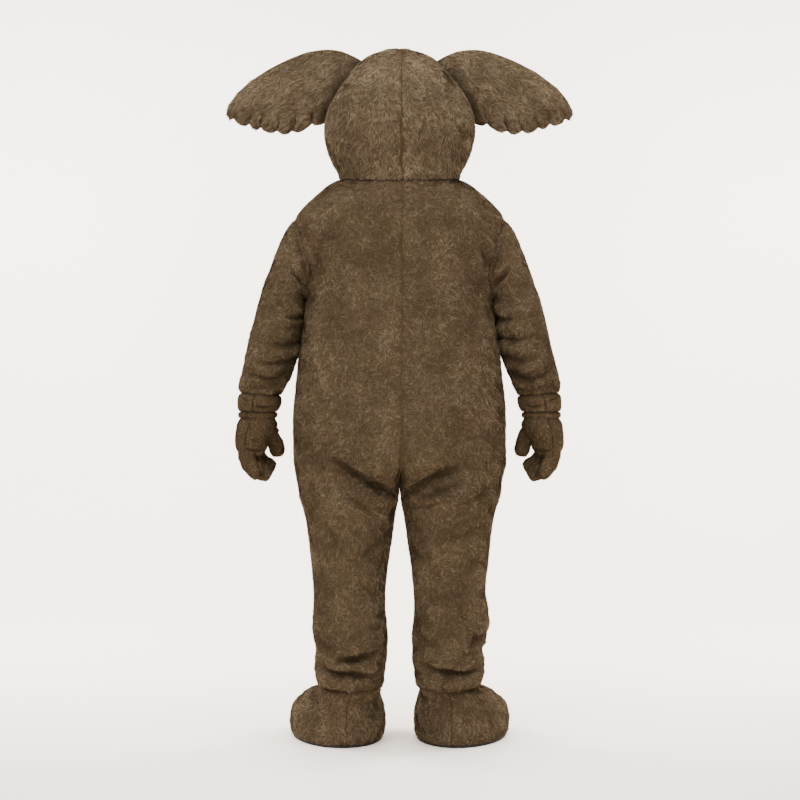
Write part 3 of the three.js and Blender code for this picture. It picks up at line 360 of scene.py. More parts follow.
BACK_CREASES = [
    # Under the seat, from the middle out to both thighs, with the seat full above the creases.
    seen(TORSO, [(330, 457), (341, 465), (354, 473), (367, 481), (380, 487), (395, 494)], 11, 12),
    seen(TORSO, [(334, 443), (352, 452), (371, 462), (388, 471)], 24, -7),
    seen(TORSO, [(337, 496), (352, 499), (367, 507), (378, 522)], 10, 5),
    seen(TORSO, [(347, 484), (362, 492), (379, 499), (394, 503)], 12, -4),
    seen(TORSO, [(405, 493), (415, 486), (428, 480), (447, 471), (459, 466)], 11, 11),
    seen(TORSO, [(414, 466), (432, 460), (454, 450), (472, 442)], 24, -7),
    seen(TORSO, [(424, 496), (436, 491), (449, 487), (463, 481)], 9, 8),
    seen(TORSO, [(458, 506), (471, 501), (484, 494), (497, 481)], 13, 6),
    seen(TORSO, [(410, 507), (424, 507), (439, 503)], 8, 4.5),
    seen(TORSO, [(400.6, 468), (400.4, 482), (400.6, 498)], 12, 11),
    # Hips, calf and inner leg, where the cloth stands out.
    seen(TORSO, [(298, 455), (298, 480), (301, 500)], 20, -7, all_round=True),
    seen(TORSO, [(502, 455), (502, 480), (498.5, 500)], 20, -7, all_round=True),
    seen(LEG, [(487, 600), (489, 622), (487, 643)], 15, -8, all_round=True),
    seen(LEG, [(387, 612), (388, 635), (387, 656)], 12, -4, all_round=True),
    # Thighs.
    seen(TORSO, [(436, 541), (451, 540), (466, 536), (486, 524)], 12, 6),
    seen(TORSO, [(428, 528), (448, 526), (470, 519)], 14, -3),
    seen(TORSO, [(414, 552), (422, 558), (429, 568)], 11, 4),
    seen(TORSO, [(385, 533), (379, 544), (366, 556), (351, 564)], 13, 5),
    seen(TORSO, [(322, 520), (330, 534), (342, 544)], 12, 3.5),
    seen(TORSO, [(300, 440), (306, 458), (316, 474)], 13, 3),
    seen(TORSO, [(500, 446), (494, 462), (485, 476)], 13, 3),
    seen(TORSO, [(356, 590), (372, 597), (386, 592)], 14, 2.5),
    seen(TORSO, [(430, 604), (452, 600), (468, 588)], 15, 2.5),
    # Beside the armholes and on the flanks.
    seen(TORSO, [(297, 234), (301, 249), (306, 262), (310, 282)], 6, 4, shade=0.6),
    seen(TORSO, [(503, 236), (499, 250), (494, 263), (491, 282)], 6, 4, shade=0.6),
    seen(TORSO, [(326, 232), (316, 252), (311, 276)], 12, 5),
    seen(TORSO, [(477, 233), (485, 250), (491, 272)], 12, 5),
    seen(TORSO, [(345, 300), (338, 322), (326, 344)], 16, 3),
    seen(TORSO, [(462, 306), (470, 326), (482, 346)], 16, 3),
    # Left lower leg: a short crease, then the main one round the leg, and the full hem below it.
    seen(LEG, [(334, 662), (349, 660), (366, 657), (379, 652)], 9, 11),
    seen(LEG, [(318, 667), (327, 672), (338, 675), (352, 675), (364, 677), (374, 681)], 9, 14),
    seen(LEG, [(371, 680), (378, 674), (385, 664)], 8, 7),
    seen(LEG, [(322, 681), (338, 685), (356, 686), (378, 684)], 14, -8),
    seen(LEG, [(340, 648), (356, 648), (374, 642)], 15, -8),
    seen(LEG, [(316, 634), (322, 646), (330, 652)], 11, 5),
    # Right lower leg: a fold from the outer side, the deep crease and the full hem.
    seen(LEG, [(490, 634), (482, 638), (475, 642), (470, 651)], 9, 11),
    seen(LEG, [(420, 664), (430, 670), (441, 673), (459, 675), (474, 673), (485, 668)], 9, 14),
    seen(LEG, [(416, 680), (432, 683), (452, 684), (480, 680)], 14, -8),
    seen(LEG, [(426, 657), (446, 660), (470, 658)], 15, -7),
    seen(LEG, [(418, 673), (423, 679), (427, 686)], 6, 4),
    seen(LEG, [(443.7, 680), (443.9, 686), (443.7, 693)], 4.5, 3.5, shade=0.5),
    seen(LEG, [(477, 651), (466, 655), (455, 654)], 9, 4.5),
    seen(LEG, [(417, 632), (424, 640), (435, 648)], 10, 5),
]
FRONT_CREASES = [
    {"path": [(190, -664), (140, -704), (92, -728), (40, -746), (4, -752)], "width": 12, "depth": 9},
    {"path": [(-4, -752), (-46, -738), (-96, -716), (-150, -700)], "width": 12, "depth": 9},
    {"path": [(0, -690), (1, -720), (0, -752)], "width": 15, "depth": 7},
    {"path": [(-60, -772), (-112, -760), (-164, -738)], "width": 11, "depth": 6},
    {"path": [(50, -790), (104, -784), (150, -764)], "width": 11, "depth": 5},
    {"path": [(188, -50), (214, -112), (232, -178)], "width": 13, "depth": 5},
    {"path": [(-184, -58), (-216, -118), (-236, -186)], "width": 13, "depth": 5},
    {"path": [(60, -960), (104, -972), (160, -962)], "width": 13, "depth": 4},
    {"path": [(-70, -984), (-122, -992), (-170, -980)], "width": 13, "depth": 4},
    {"path": [(44, -1136), (92, -1168), (150, -1178), (206, -1160)], "width": 11, "depth": 8},
    {"path": [(206, -1210), (150, -1232), (96, -1226), (50, -1206)], "width": 10, "depth": 8},
    {"path": [(-210, -1134), (-160, -1166), (-100, -1176), (-52, -1150)], "width": 11, "depth": 8},
    {"path": [(-52, -1200), (-110, -1226), (-166, -1228), (-212, -1204)], "width": 10, "depth": 9},
]
SLEEVE_CREASES = [
    # Where the sleeve rests against the body.
    seen(ARM, [(303.5, 296), (302.5, 318), (301, 336), (298, 352)], 14, -4.5, all_round=True),
    seen(ARM, [(495.5, 292), (496, 312), (498, 334), (501, 352)], 14, -4.5, all_round=True),
    # Left sleeve, from the armhole down.
    seen(ARM, [(295, 236), (299, 249), (304, 262), (308, 282)], 6, 5, shade=0.6),
    seen(ARM, [(290, 269), (295, 274), (301, 282), (309, 290)], 7, 8, shade=0.5),
    seen(ARM, [(284, 315), (293, 318), (302, 317), (312, 313)], 9, 9),
    seen(ARM, [(286, 329), (294, 327), (306, 325)], 8, 5),
    seen(ARM, [(270, 344), (282, 346), (294, 343), (306, 337)], 11, 8),
    seen(ARM, [(256, 361), (272, 364), (288, 361), (302, 353)], 12, 9),
    seen(ARM, [(247, 373), (262, 378), (277, 378), (294, 366)], 10, 10),
    seen(ARM, [(244, 386), (256, 387), (270, 386), (285, 380)], 8, 6),
    seen(ARM, [(244, 381), (252, 381), (264, 381)], 11, -4),
    # Right sleeve.
    seen(ARM, [(504, 238), (500, 250), (495, 263), (492.5, 282)], 6, 5, shade=0.6),
    seen(ARM, [(511, 267), (505, 273), (499, 281), (491, 290)], 7, 8, shade=0.5),
    seen(ARM, [(487, 313), (497, 317), (506, 320), (516, 320)], 9, 9),
    seen(ARM, [(491, 334), (501, 337), (513, 340), (530, 336)], 10, 9),
    seen(ARM, [(495, 349), (506, 356), (520, 361), (537, 357)], 12, 8),
    seen(ARM, [(503, 365), (515, 375), (531, 380), (552, 370)], 11, 10),
    seen(ARM, [(514, 386), (530, 389), (544, 387)], 8, 5),
    seen(ARM, [(544, 389), (550, 385), (560, 389)], 6, 5),
    seen(ARM, [(520, 383), (535, 384), (552, 379)], 12, -4),
]
CUFF_CREASES = [
    seen(HAND, [(254.8, 392), (252.3, 403.6), (251.6, 414)], 3.5, 3.5, shade=0.75),
    seen(HAND, [(255, 406), (263, 407.5), (272, 406)], 4.5, 4.5, shade=0.7),
    seen(HAND, [(241, 396.5), (244, 399), (248, 402)], 4, 3.5, shade=0.6),
    seen(HAND, [(262, 399), (271, 400), (279, 398)], 6, -2.5),
    seen(HAND, [(543, 392), (545, 402), (545.5, 414)], 3.5, 3.5, shade=0.75),
    seen(HAND, [(524, 404), (533, 407), (543, 405)], 4.5, 4.5, shade=0.7),
    seen(HAND, [(550, 401), (555, 399), (559, 396)], 4, 3.5, shade=0.6),
    seen(HAND, [(522, 398), (531, 400), (539, 398)], 6, -2.5),
]
GLOVE_CREASES = [
    # Seam along the back of the hand, the knuckles, the parted fingers and the thumb's root.
    seen(HAND, [(251, 416), (249, 424), (245.5, 434), (245, 445), (245, 456)], 2.6, 2.2, shade=0.7),
    seen(HAND, [(243, 447), (249, 450), (257, 451), (265, 448)], 4, 3.5, shade=0.5),
    seen(HAND, [(251, 441.5), (255, 440.5), (260, 438)], 4, 2.5, shade=0.4),
    seen(HAND, [(254, 453), (257, 463), (262, 478)], 3.5, 5, shade=0.8),
    seen(HAND, [(264, 450), (267, 462), (272, 478)], 3.5, 4.5, shade=0.8),
    seen(HAND, [(270, 440), (275, 437.5), (282, 434)], 4, 4, shade=0.6),
    seen(HAND, [(260, 421), (263, 431), (267, 440)], 6, 2.5),
    seen(HAND, [(548, 416), (550, 424), (553, 434), (553.5, 445), (553, 456)], 2.6, 2.2, shade=0.7),
    seen(HAND, [(534, 449), (541, 451), (550, 450), (555, 446)], 4, 3.5, shade=0.5),
    seen(HAND, [(538, 438), (543, 441), (548, 441.5)], 4, 2.5, shade=0.4),
    seen(HAND, [(545, 453), (541, 463), (536, 478)], 3.5, 5, shade=0.8),
    seen(HAND, [(535, 450), (531, 462), (527, 478)], 3.5, 4.5, shade=0.8),
    seen(HAND, [(517, 434), (523, 438), (528, 440)], 4, 4, shade=0.6),
    seen(HAND, [(538, 421), (535, 431), (531, 440)], 6, 2.5),
]
BOOT_CREASES = [
    # Pressed in under the leg's hem, with a painted shadow where the hem overhangs the boot.
    seen(LEG, [(314, 688), (326, 691.5), (342, 694), (358, 694.5), (374, 693), (388, 689)], 6, 4, shade=0.8),
    seen(LEG, [(414, 689), (428, 692.5), (444, 694.5), (460, 694), (474, 692), (487, 688)], 6, 4, shade=0.8),
    seen(BOOT, [(315, 689), (307, 694), (298, 703)], 8, 5),
    seen(BOOT, [(319, 692), (314, 703), (309, 716)], 9, 4),
    seen(BOOT, [(330, 700), (334, 716), (331, 734)], 9, 2.5),
    seen(BOOT, [(360, 696), (360.5, 715), (360, 738)], 4, 2),
    seen(BOOT, [(484, 686), (490, 690), (497, 698)], 7, 5),
    seen(BOOT, [(481, 692), (488, 703), (494, 717)], 9, 4),
    seen(BOOT, [(489, 684), (500, 692), (508, 704)], 8, 3),
    seen(BOOT, [(470, 700), (466, 716), (469, 732)], 9, 2.5),
    seen(BOOT, [(443, 697), (442, 715), (443, 738)], 4, 2),
]
# The instep slopes down to the outer side.
for sign in (1, -1):
    slope = [(sign * x, z) for x, z in ((246, -1272), (272, -1298), (288, -1326))]
    BOOT_CREASES.append({"path": slope, "width": 21, "depth": 10, "shade": 0, "all_round": True})
TABLES = (BACK_CREASES, FRONT_CREASES, SLEEVE_CREASES, CUFF_CREASES, GLOVE_CREASES, BOOT_CREASES)
print("creases in the tables:", [len(table) for table in TABLES])

# How dark the shade painted into the deepest creases is. A seam or a pressed line has a painted
# shade of its own in its table.
FOLD_SHADE = 0.62
# A trough this deep, in millimetres, has the full shade.
FULL_DEPTH = 9
# How far from its path a crease still moves the cloth, in half widths.
CREASE_REACH = 2.3


def path_distance(flat_points, path):
    """Distance of points from a path in the same plane, and how far along it they lie, 0 to 1."""
    path = np.array(path, float) * MM
    spans = np.linalg.norm(np.diff(path, axis=0), axis=1)
    starts = np.concatenate([[0], np.cumsum(spans)[:-1]])
    best = np.full(len(flat_points), 1e9)
    along = np.zeros(len(flat_points))
    for a, b, span, start in zip(path[:-1], path[1:], spans, starts):
        share = np.clip((flat_points - a) @ (b - a) / span**2, 0, 1)
        distance = np.linalg.norm(flat_points - a - share[:, None] * (b - a), axis=1)
        closer = distance < best
        best = np.where(closer, distance, best)
        along = np.where(closer, (start + share * span) / spans.sum(), along)
    return best, along


def crease_lift(points, creases, towards):
    """How far each point moves out, and how much painted shade it gets, for creases on one face."""
    lift = np.zeros(len(points))
    fold = np.zeros(len(points))
    facing = smoothstep(points[:, 1] * towards, -0.012, 0.022)
    for number, crease in enumerate(creases):
        distance, along = path_distance(points[:, [0, 2]], crease["path"])
        width = crease["width"] * MM * (1 + 0.25 * waves(points, number, 0.09, 0.05, 3))
        taper = np.sqrt(np.clip(np.sin(math.pi * np.clip(along, 0.02, 0.98)), 0, 1))
        taper *= 1 if crease.get("all_round") else facing
        trough = np.exp(-((distance / width) ** 2))
        ridge = np.exp(-(((distance - 2.1 * width) / (1.1 * width)) ** 2))
        lift += crease["depth"] * MM * taper * (0.42 * ridge - trough)
        # Painted shade in the trough of each crease, where a deep crease lies in shade.
        shade = crease.get("shade", FOLD_SHADE * min(1, crease["depth"] / FULL_DEPTH))
        fold = np.maximum(fold, shade * trough**2 * taper)
    return lift, fold


# %% [markdown]
# ## Cloth shells
#
# Each panel of the CAD model is a wall with an outer and an inner skin. A panel of real plush is one
# thin, bending sheet, so the outer skin is kept, made smooth and finer, creased, and given the
# backing's thickness again. The cut edges roll inwards a little, because two panels are sewn with
# their pile sides together and turned over: that is what makes a seam in plush a soft groove.

# %% Shell functions
RIM_ANGLE = 66
BACKING_THICKNESS = 1.6 * MM
BACKING_TONE = 0.3
SEAM_ROLL = 1.3 * MM
SEAM_REACH = 3.2 * MM


def merged_copy(names, title):
    """A copy of the panels' meshes as one new object, with its doubled corners merged."""
    copies = []
    for name in names:
        copies.append(link_new(title, nodes[name].data.copy()))
    bpy.ops.object.select_all(action="DESELECT")
    for copy in copies:
        copy.select_set(True)
    bpy.context.view_layer.objects.active = copies[0]
    if len(copies) > 1:
        bpy.ops.object.join()
    piece = bpy.context.view_layer.objects.active
    piece.name = title
    piece.data.name = title
    piece.data.materials.clear()
    bpy.ops.object.mode_set(mode="EDIT")
    bpy.ops.mesh.select_all(action="SELECT")
    bpy.ops.mesh.remove_doubles(threshold=0.02 * MM)
    bpy.ops.mesh.tris_convert_to_quads(
        face_threshold=math.radians(RIM_ANGLE), shape_threshold=math.radians(RIM_ANGLE)
    )
    bpy.ops.object.mode_set(mode="OBJECT")
    return piece


def outer_skin(piece):
    """Delete everything but the skin that faces away from the wearer, parted at the sharp rims."""
    mesh = piece.data
    owner = {}
    for polygon in mesh.polygons:
        for key in polygon.edge_keys:
            owner.setdefault(key, []).append(polygon.index)
    normals = [polygon.normal for polygon in mesh.polygons]
    group = [-1] * len(mesh.polygons)
    groups = 0
    for first in range(len(mesh.polygons)):
        if group[first] >= 0:
            continue
        group[first] = groups
        waiting = [first]
        while waiting:
            here = waiting.pop()
            for key in mesh.polygons[here].edge_keys:
                for other in owner[key]:
                    if group[other] < 0 and normals[here].angle(normals[other], 0) < math.radians(RIM_ANGLE):
                        group[other] = groups
                        waiting.append(other)
        groups += 1
    middle = points_of(piece).mean(axis=0)
    outward = [0.0] * groups
    for polygon in mesh.polygons:
        away = np.array(polygon.center) - middle
        outward[group[polygon.index]] += polygon.area * float(np.dot(away, polygon.normal))
    kept = outward.index(max(outward))
    for polygon in mesh.polygons:
        polygon.select = group[polygon.index] != kept
    delete_faces(piece)
    return len(mesh.polygons)


def subdivide_through(piece, levels):
    """Subdivide, with the corners moved out first so that the smooth skin passes through them."""
    corners = points_of(piece)
    trial = link_new("trial", piece.data.copy())
    add_modifier(trial, "SUBSURF", levels=2, render_levels=2)
    shrunk = points_of(trial)[: len(corners)]
    bpy.data.objects.remove(trial)
    move_points(piece, 2 * corners - shrunk)
    add_modifier(piece, "SUBSURF", levels=levels, render_levels=levels)


def refine_near(piece, creases, towards, cuts):
    """Split the faces near the creases, so that a crease has enough points across it."""
    middles = np.array([polygon.center for polygon in piece.data.polygons])
    near = np.zeros(len(middles), bool)
    for crease in creases:
        distance, _ = path_distance(middles[:, [0, 2]], crease["path"])
        near |= (distance < CREASE_REACH * crease["width"] * MM) & (middles[:, 1] * towards > -0.02)
    piece.data.polygons.foreach_set("select", near)
    piece.data.update()
    only(piece)
    bpy.ops.object.mode_set(mode="EDIT")
    bpy.ops.mesh.subdivide(number_cuts=cuts, smoothness=0)
    bpy.ops.object.mode_set(mode="OBJECT")


def nearest_rim(points, rim):
    """For each point, the nearest of the rim's points and how far off it is."""
    tree = kdtree.KDTree(len(rim))
    for number, point in enumerate(rim):
        tree.insert(point, number)
    tree.balance()
    found = [tree.find(point) for point in points]
    return np.array([place for place, _, _ in found]), np.array([distance for _, _, distance in found])


def open_rim(piece):
    """The points on the open edges of a skin."""
    mesh = piece.data
    edges = np.empty(len(mesh.loops), np.int32)
    mesh.loops.foreach_get("edge_index", edges)
    used = np.bincount(edges, minlength=len(mesh.edges))
    ends = np.empty(len(mesh.edges) * 2, np.int32)
    mesh.edges.foreach_get("vertices", ends)
    return points_of(piece)[np.unique(ends.reshape(-1, 2)[used == 1])]


skins = {}


def keep_skin(piece, fold, seam, rim):
    """Colour the finished outer skin with its painted shade, and remember it and its nearest seam, to set
    the pile on it.
    """
    mesh = piece.data
    set_number(piece, "fold", fold)
    set_number(piece, "tone", np.full(len(fold), BACKING_TONE))
    mesh.calc_loop_triangles()
    corners = np.empty(len(mesh.loop_triangles) * 3, np.int32)
    mesh.loop_triangles.foreach_get("vertices", corners)
    skins[piece.name] = {
        "points": points_of(piece),
        "normals": normals_of(piece),
        "triangles": corners.reshape(-1, 3),
        "fold": fold,
        "seam": seam,
        "rim": rim,
    }


def shape_cloth(piece, creases, towards, unevenness, tuck=0.0):
    """Crease the skin, roll its seam edges in and make it gently uneven all over.

    tuck is how far the upper edge is drawn up and in, where it goes under another piece.
    """
    points = points_of(piece)
    normals = normals_of(piece)
    seam, rim = nearest_rim(points, open_rim(piece))
    lift, fold = crease_lift(points, creases, towards)
    soft = smoothstep(rim, 0, 0.03)
    lift += unevenness * (waves(points, 11, 0.22, 0.07) + 0.5 * waves(points, 12, 0.07, 0.028)) * soft
    lift -= SEAM_ROLL * np.exp(-((rim / SEAM_REACH) ** 2))
    points = points + normals * lift[:, None]
    if tuck:
        middle = points.mean(axis=0)
        share = np.exp(-((rim / SEAM_REACH) ** 2)) * (points[:, 2] > middle[2])
        inwards = unit((middle - points) * [1, 1, 0])
        points += (0.8 * inwards + [0, 0, 1]) * (tuck * share)[:, None]
    move_points(piece, points)
    keep_skin(piece, fold, seam, rim)


def finish_cloth(piece, replaced):
    """Give the skin the backing's thickness and put it in its place in the frame."""
    add_modifier(piece, "SOLIDIFY", thickness=BACKING_THICKNESS, offset=-1, use_rim=True)
    bpy.ops.object.shade_smooth()
    piece.data.materials.append(backing)
    put_in_frame(piece, replaced)


def cloth_panel(name, creases=(), towards=1, levels=2, cuts=1, unevenness=1.2 * MM, tuck=0.0):
    piece = merged_copy([name], name + "_cloth")
    kept = outer_skin(piece)
    subdivide_through(piece, levels)
    if creases:
        refine_near(piece, creases, towards, cuts)
    shape_cloth(piece, creases, towards, unevenness, tuck)
    heights = points_of(piece)[:, 2]
    finish_cloth(piece, [name])
    print(f"{name}: {kept} faces kept, {len(piece.data.polygons)} in the shell,"
          f" from {heights.min():.4f} to {heights.max():.4f} m high")
    return piece


# %% [markdown]
# ## Body suit
#
# Two backs and two fronts, each cut in one piece from the neck to the hem of the leg, joined at the
# centre back, the centre front, the sides and inside the legs. The sleeves are set into oval
# armholes and end in a padded-looking cuff with the sleeve sagging over it.

# %% Body suit, sleeves and cuffs
cloth = {}
for side in ("left", "right"):
    cloth[f"body_back_{side}"] = cloth_panel(f"body_back_{side}", BACK_CREASES, 1)
    cloth[f"body_front_{side}"] = cloth_panel(f"body_front_{side}", FRONT_CREASES, -1)
    cloth[f"sleeve_{side}"] = cloth_panel(f"sleeve_{side}", SLEEVE_CREASES, 1)
    cloth[f"cuff_{side}"] = cloth_panel(
        f"cuff_{side}", CUFF_CREASES, 1, unevenness=0.8 * MM, tuck=4 * MM
    )

# %% [markdown]
# ## Head
#
# Real heads of this kind are plush over a foam or light plastic ball: firm, round and nearly without
# creases. Two back panels meet in a seam over the crown and one panel makes the face.

# %% Head panels
for name in ("head_back_left", "head_back_right", "head_front"):
    cloth[name] = cloth_panel(name, unevenness=1.5 * MM)

# %% [markdown]
# ## Boots
#
# Big soft overshoes: an outer and an inner half meet over the heel, the instep and the toe, and a
# black foam sole is glued on below. The plush puckers where the leg's hem presses on the instep.

# %% Boots
for side in ("left", "right"):
    for half in ("outer", "inner"):
        name = f"boot_{side}_{half}"
        cloth[name] = cloth_panel(name, BOOT_CREASES, 1, unevenness=1.5 * MM)

# %% [markdown]
# ## Gloves
#
# A glove's back and palm meet in a seam along the back of the hand. Its fingers are rounded tubes
# that run into each other in deep creases, so the two panels are fused, smoothed as one skin, and
# the seam and the knuckle creases are pressed into it.

# %% Gloves
GLOVE_VOXEL = 2.0 * MM
GLOVE_SEAM = 1.2 * MM
WRIST_EDGE = -0.5078
# Tips of the thumb and the fingers, across and up in millimetres, and how far the rounding reaches.
GLOVE_TIPS = [(325, -648), (334, -674), (345, -696), (357, -716), (387, -713), (310, -640)]
TIP_REACH = 15 * MM
# Smoothing thins the glove, most of all at its tips, so it is filled out again by these.
GLOVE_FILL = 1.6 * MM
TIP_FILL = 3.0 * MM
FACES_KEPT = 0.2
SIGHT_LINES = 90
SIGHT_START = 0.2 * MM


def seen_skin(piece):
    """Keep the faces that can be seen from outside and below: neither the lining side nor a rim."""
    mesh = piece.data
    tree = BVHTree.FromPolygons([v.co for v in mesh.vertices], [p.vertices for p in mesh.polygons])
    sight = unit(np.random.RandomState(1).normal(size=(SIGHT_LINES, 3)))
    sight = [Vector(line) for line in sight if line[2] < 0]
    for polygon in mesh.polygons:
        start = polygon.center + polygon.normal * SIGHT_START
        ahead = [line for line in sight if line.dot(polygon.normal) > 0.05]
        clear = sum(tree.ray_cast(start, line)[0] is None for line in ahead)
        polygon.select = clear < 2
    delete_faces(piece)


def weld(piece, threshold):
    """Merge the points that lie closer than threshold, and leave all of them selected."""
    only(piece)
    bpy.ops.object.mode_set(mode="EDIT")
    bpy.ops.mesh.select_all(action="SELECT")
    bpy.ops.mesh.remove_doubles(threshold=threshold)
    bpy.ops.mesh.select_all(action="SELECT")
    bpy.ops.object.mode_set(mode="OBJECT")


def glove(side):
    """One glove from its back and palm panels, as one smooth skin that is open at the wrist."""
    names = [f"glove_{side}_back", f"glove_{side}_palm"]
    piece = merged_copy(names, f"glove_{side}_cloth")
    seen_skin(piece)
    weld(piece, GLOVE_SEAM)
    # A lid over the wrist makes the form closed, as the voxel remesh needs.
    points = points_of(piece)
    wrist = points[points[:, 2] > points[:, 2].max() - 0.2 * MM]
    middle = wrist.mean(axis=0)
    wrist = wrist[np.argsort(np.arctan2(wrist[:, 1] - middle[1], wrist[:, 0] - middle[0]))]
    count = len(wrist)
    mesh = bpy.data.meshes.new("lid")
    mesh.from_pydata(
        [tuple(point) for point in (*wrist, middle)], [], [(i, (i + 1) % count, count) for i in range(count)]
    )
    lid = link_new("lid", mesh)
    only(piece)
    lid.select_set(True)
    bpy.ops.object.join()
    weld(piece, 0.1 * MM)
    bpy.ops.object.mode_set(mode="EDIT")
    bpy.ops.mesh.fill_holes(sides=0)
    bpy.ops.object.mode_set(mode="OBJECT")
    add_modifier(piece, "REMESH", mode="VOXEL", voxel_size=GLOVE_VOXEL, use_smooth_shade=True)
    only(piece)
    bpy.ops.object.mode_set(mode="EDIT")
    bpy.ops.mesh.select_all(action="SELECT")
    bpy.ops.mesh.bisect(plane_co=(0, 0, WRIST_EDGE), plane_no=(0, 0, 1), clear_outer=True)
    bpy.ops.mesh.select_all(action="SELECT")
    bpy.ops.mesh.separate(type="LOOSE")
    bpy.ops.object.mode_set(mode="OBJECT")
    parts = sorted(bpy.context.selected_objects, key=lambda part: -part.dimensions.length)
    piece = parts[0]
    for part in parts[1:]:
        bpy.data.objects.remove(part)
    piece.name = f"glove_{side}_cloth"
    area = sum(polygon.area for polygon in piece.data.polygons)
    print(f"glove_{side}: {len(parts)} part(s), skin of {area:.4f} m2")
    tips = np.array(GLOVE_TIPS) * MM
    points = points_of(piece)
    seen_flat = np.abs(points[:, [0]]) * [1, 0] + points[:, [2]] * [0, 1]
    far = np.min([np.linalg.norm(seen_flat - tip, axis=1) for tip in tips], axis=0)
    group = piece.vertex_groups.new(name="tips")
    for index, weight in enumerate(np.exp(-((far / TIP_REACH) ** 2))):
        if weight > 0.02:
            group.add([index], float(weight), "REPLACE")
    add_modifier(piece, "SMOOTH", factor=0.5, iterations=16)
    add_modifier(piece, "SMOOTH", factor=0.5, iterations=55, vertex_group="tips")
    add_modifier(piece, "DISPLACE", strength=GLOVE_FILL, mid_level=0)
    add_modifier(piece, "DISPLACE", strength=TIP_FILL, mid_level=0, vertex_group="tips")
    shape_cloth(piece, GLOVE_CREASES, 1, 0.6 * MM)
    add_modifier(piece, "DECIMATE", ratio=FACES_KEPT)
    points = points_of(piece)
    seam, rim = nearest_rim(points, open_rim(piece))
    _, fold = crease_lift(points, GLOVE_CREASES, 1)
    keep_skin(piece, fold, seam, rim)
    finish_cloth(piece, names)
    print(f"glove_{side}: {len(piece.data.polygons)} faces in the shell")
    return piece


for side in ("left", "right"):
    cloth[f"glove_{side}"] = glove(side)
    cloth[f"glove_{side}_band"] = cloth_panel(
        f"glove_{side}_band", unevenness=0.4 * MM, tuck=2 * MM
    )

# %% [markdown]
# ## Ears
#
# The ears are the only stuffed pieces: a back and a front half sewn round the rim and filled until
# they stand. Their lower edge is caught in small scallops, and from each notch between two scallops
# a short gather runs up into the ear.

# %% Ears
EAR_NOTCHES = [
    {"path": [(240, 243), (237, 262), (230, 284)], "width": 5, "depth": 5},
    {"path": [(293, 225), (289, 246), (281, 272)], "width": 5, "depth": 6},
    {"path": [(335, 224), (331, 244), (324, 266)], "width": 5, "depth": 6},
    {"path": [(379, 233), (375, 252), (367, 275)], "width": 5, "depth": 6},
    {"path": [(410, 244), (406, 260), (398, 278)], "width": 4.5, "depth": 5},
    {"path": [(453, 258), (447, 272), (436, 288)], "width": 4.5, "depth": 4},
]
# Shade where the ear meets the head, and how far it reaches.
ROOT_SHADE = 0.85
ROOT_REACH = 24 * MM


def dome_edge(piece, towards):
    """The points where an ear half's rounded side meets its flat one."""
    mesh = piece.data
    rounded = np.zeros(len(mesh.vertices), bool)
    flat = np.zeros(len(mesh.vertices), bool)
    for polygon in mesh.polygons:
        side = rounded if polygon.normal[1] * towards > 0 else flat
        side[list(polygon.vertices)] = True
    return points_of(piece)[rounded & flat]


def ear_half(side, face):
    name = f"ear_{side}_{face}"
    sign = 1 if side == "left" else -1
    notches = [
        {**notch, "path": [(sign * x, z) for x, z in notch["path"]]} for notch in EAR_NOTCHES
    ]
    piece = merged_copy([name], name + "_plush")
    crease_sharp_edges(piece, RIM_ANGLE, 1)
    add_modifier(piece, "SUBSURF", levels=2, render_levels=2)
    points = points_of(piece)
    normals = normals_of(piece)
    towards = 1 if face == "back" else -1
    outwards = smoothstep(normals[:, 1] * towards, 0.1, 0.5)
    shifted = points + [0, 0.05 * towards, 0]
    lift, fold = crease_lift(shifted, notches, towards)
    # Painted shade on the pile where the ear meets the head.
    panels = [f"head_{part}_cloth" for part in ("back_left", "back_right", "front")]
    head = np.concatenate([skins[panel]["points"] for panel in panels])
    _, away = nearest_rim(points, head)
    fold = np.maximum(fold, ROOT_SHADE * np.exp(-((away / ROOT_REACH) ** 2)))
    lift = (lift + 1.2 * MM * waves(points, 5, 0.16, 0.04)) * outwards
    points = points + normals * lift[:, None]
    move_points(piece, points)
    seam, rim = nearest_rim(points, dome_edge(piece, towards))
    keep_skin(piece, fold * outwards, seam, np.where(outwards > 0.02, rim, 0.0))
    only(piece)
    bpy.ops.object.shade_smooth_by_angle(angle=math.radians(RIM_ANGLE))
    piece.data.materials.append(backing)
    put_in_frame(piece, [name])
    return piece


for side in ("left", "right"):
    for face in ("back", "front"):
        cloth[f"ear_{side}_{face}"] = ear_half(side, face)
print("soft pieces:", len(cloth))
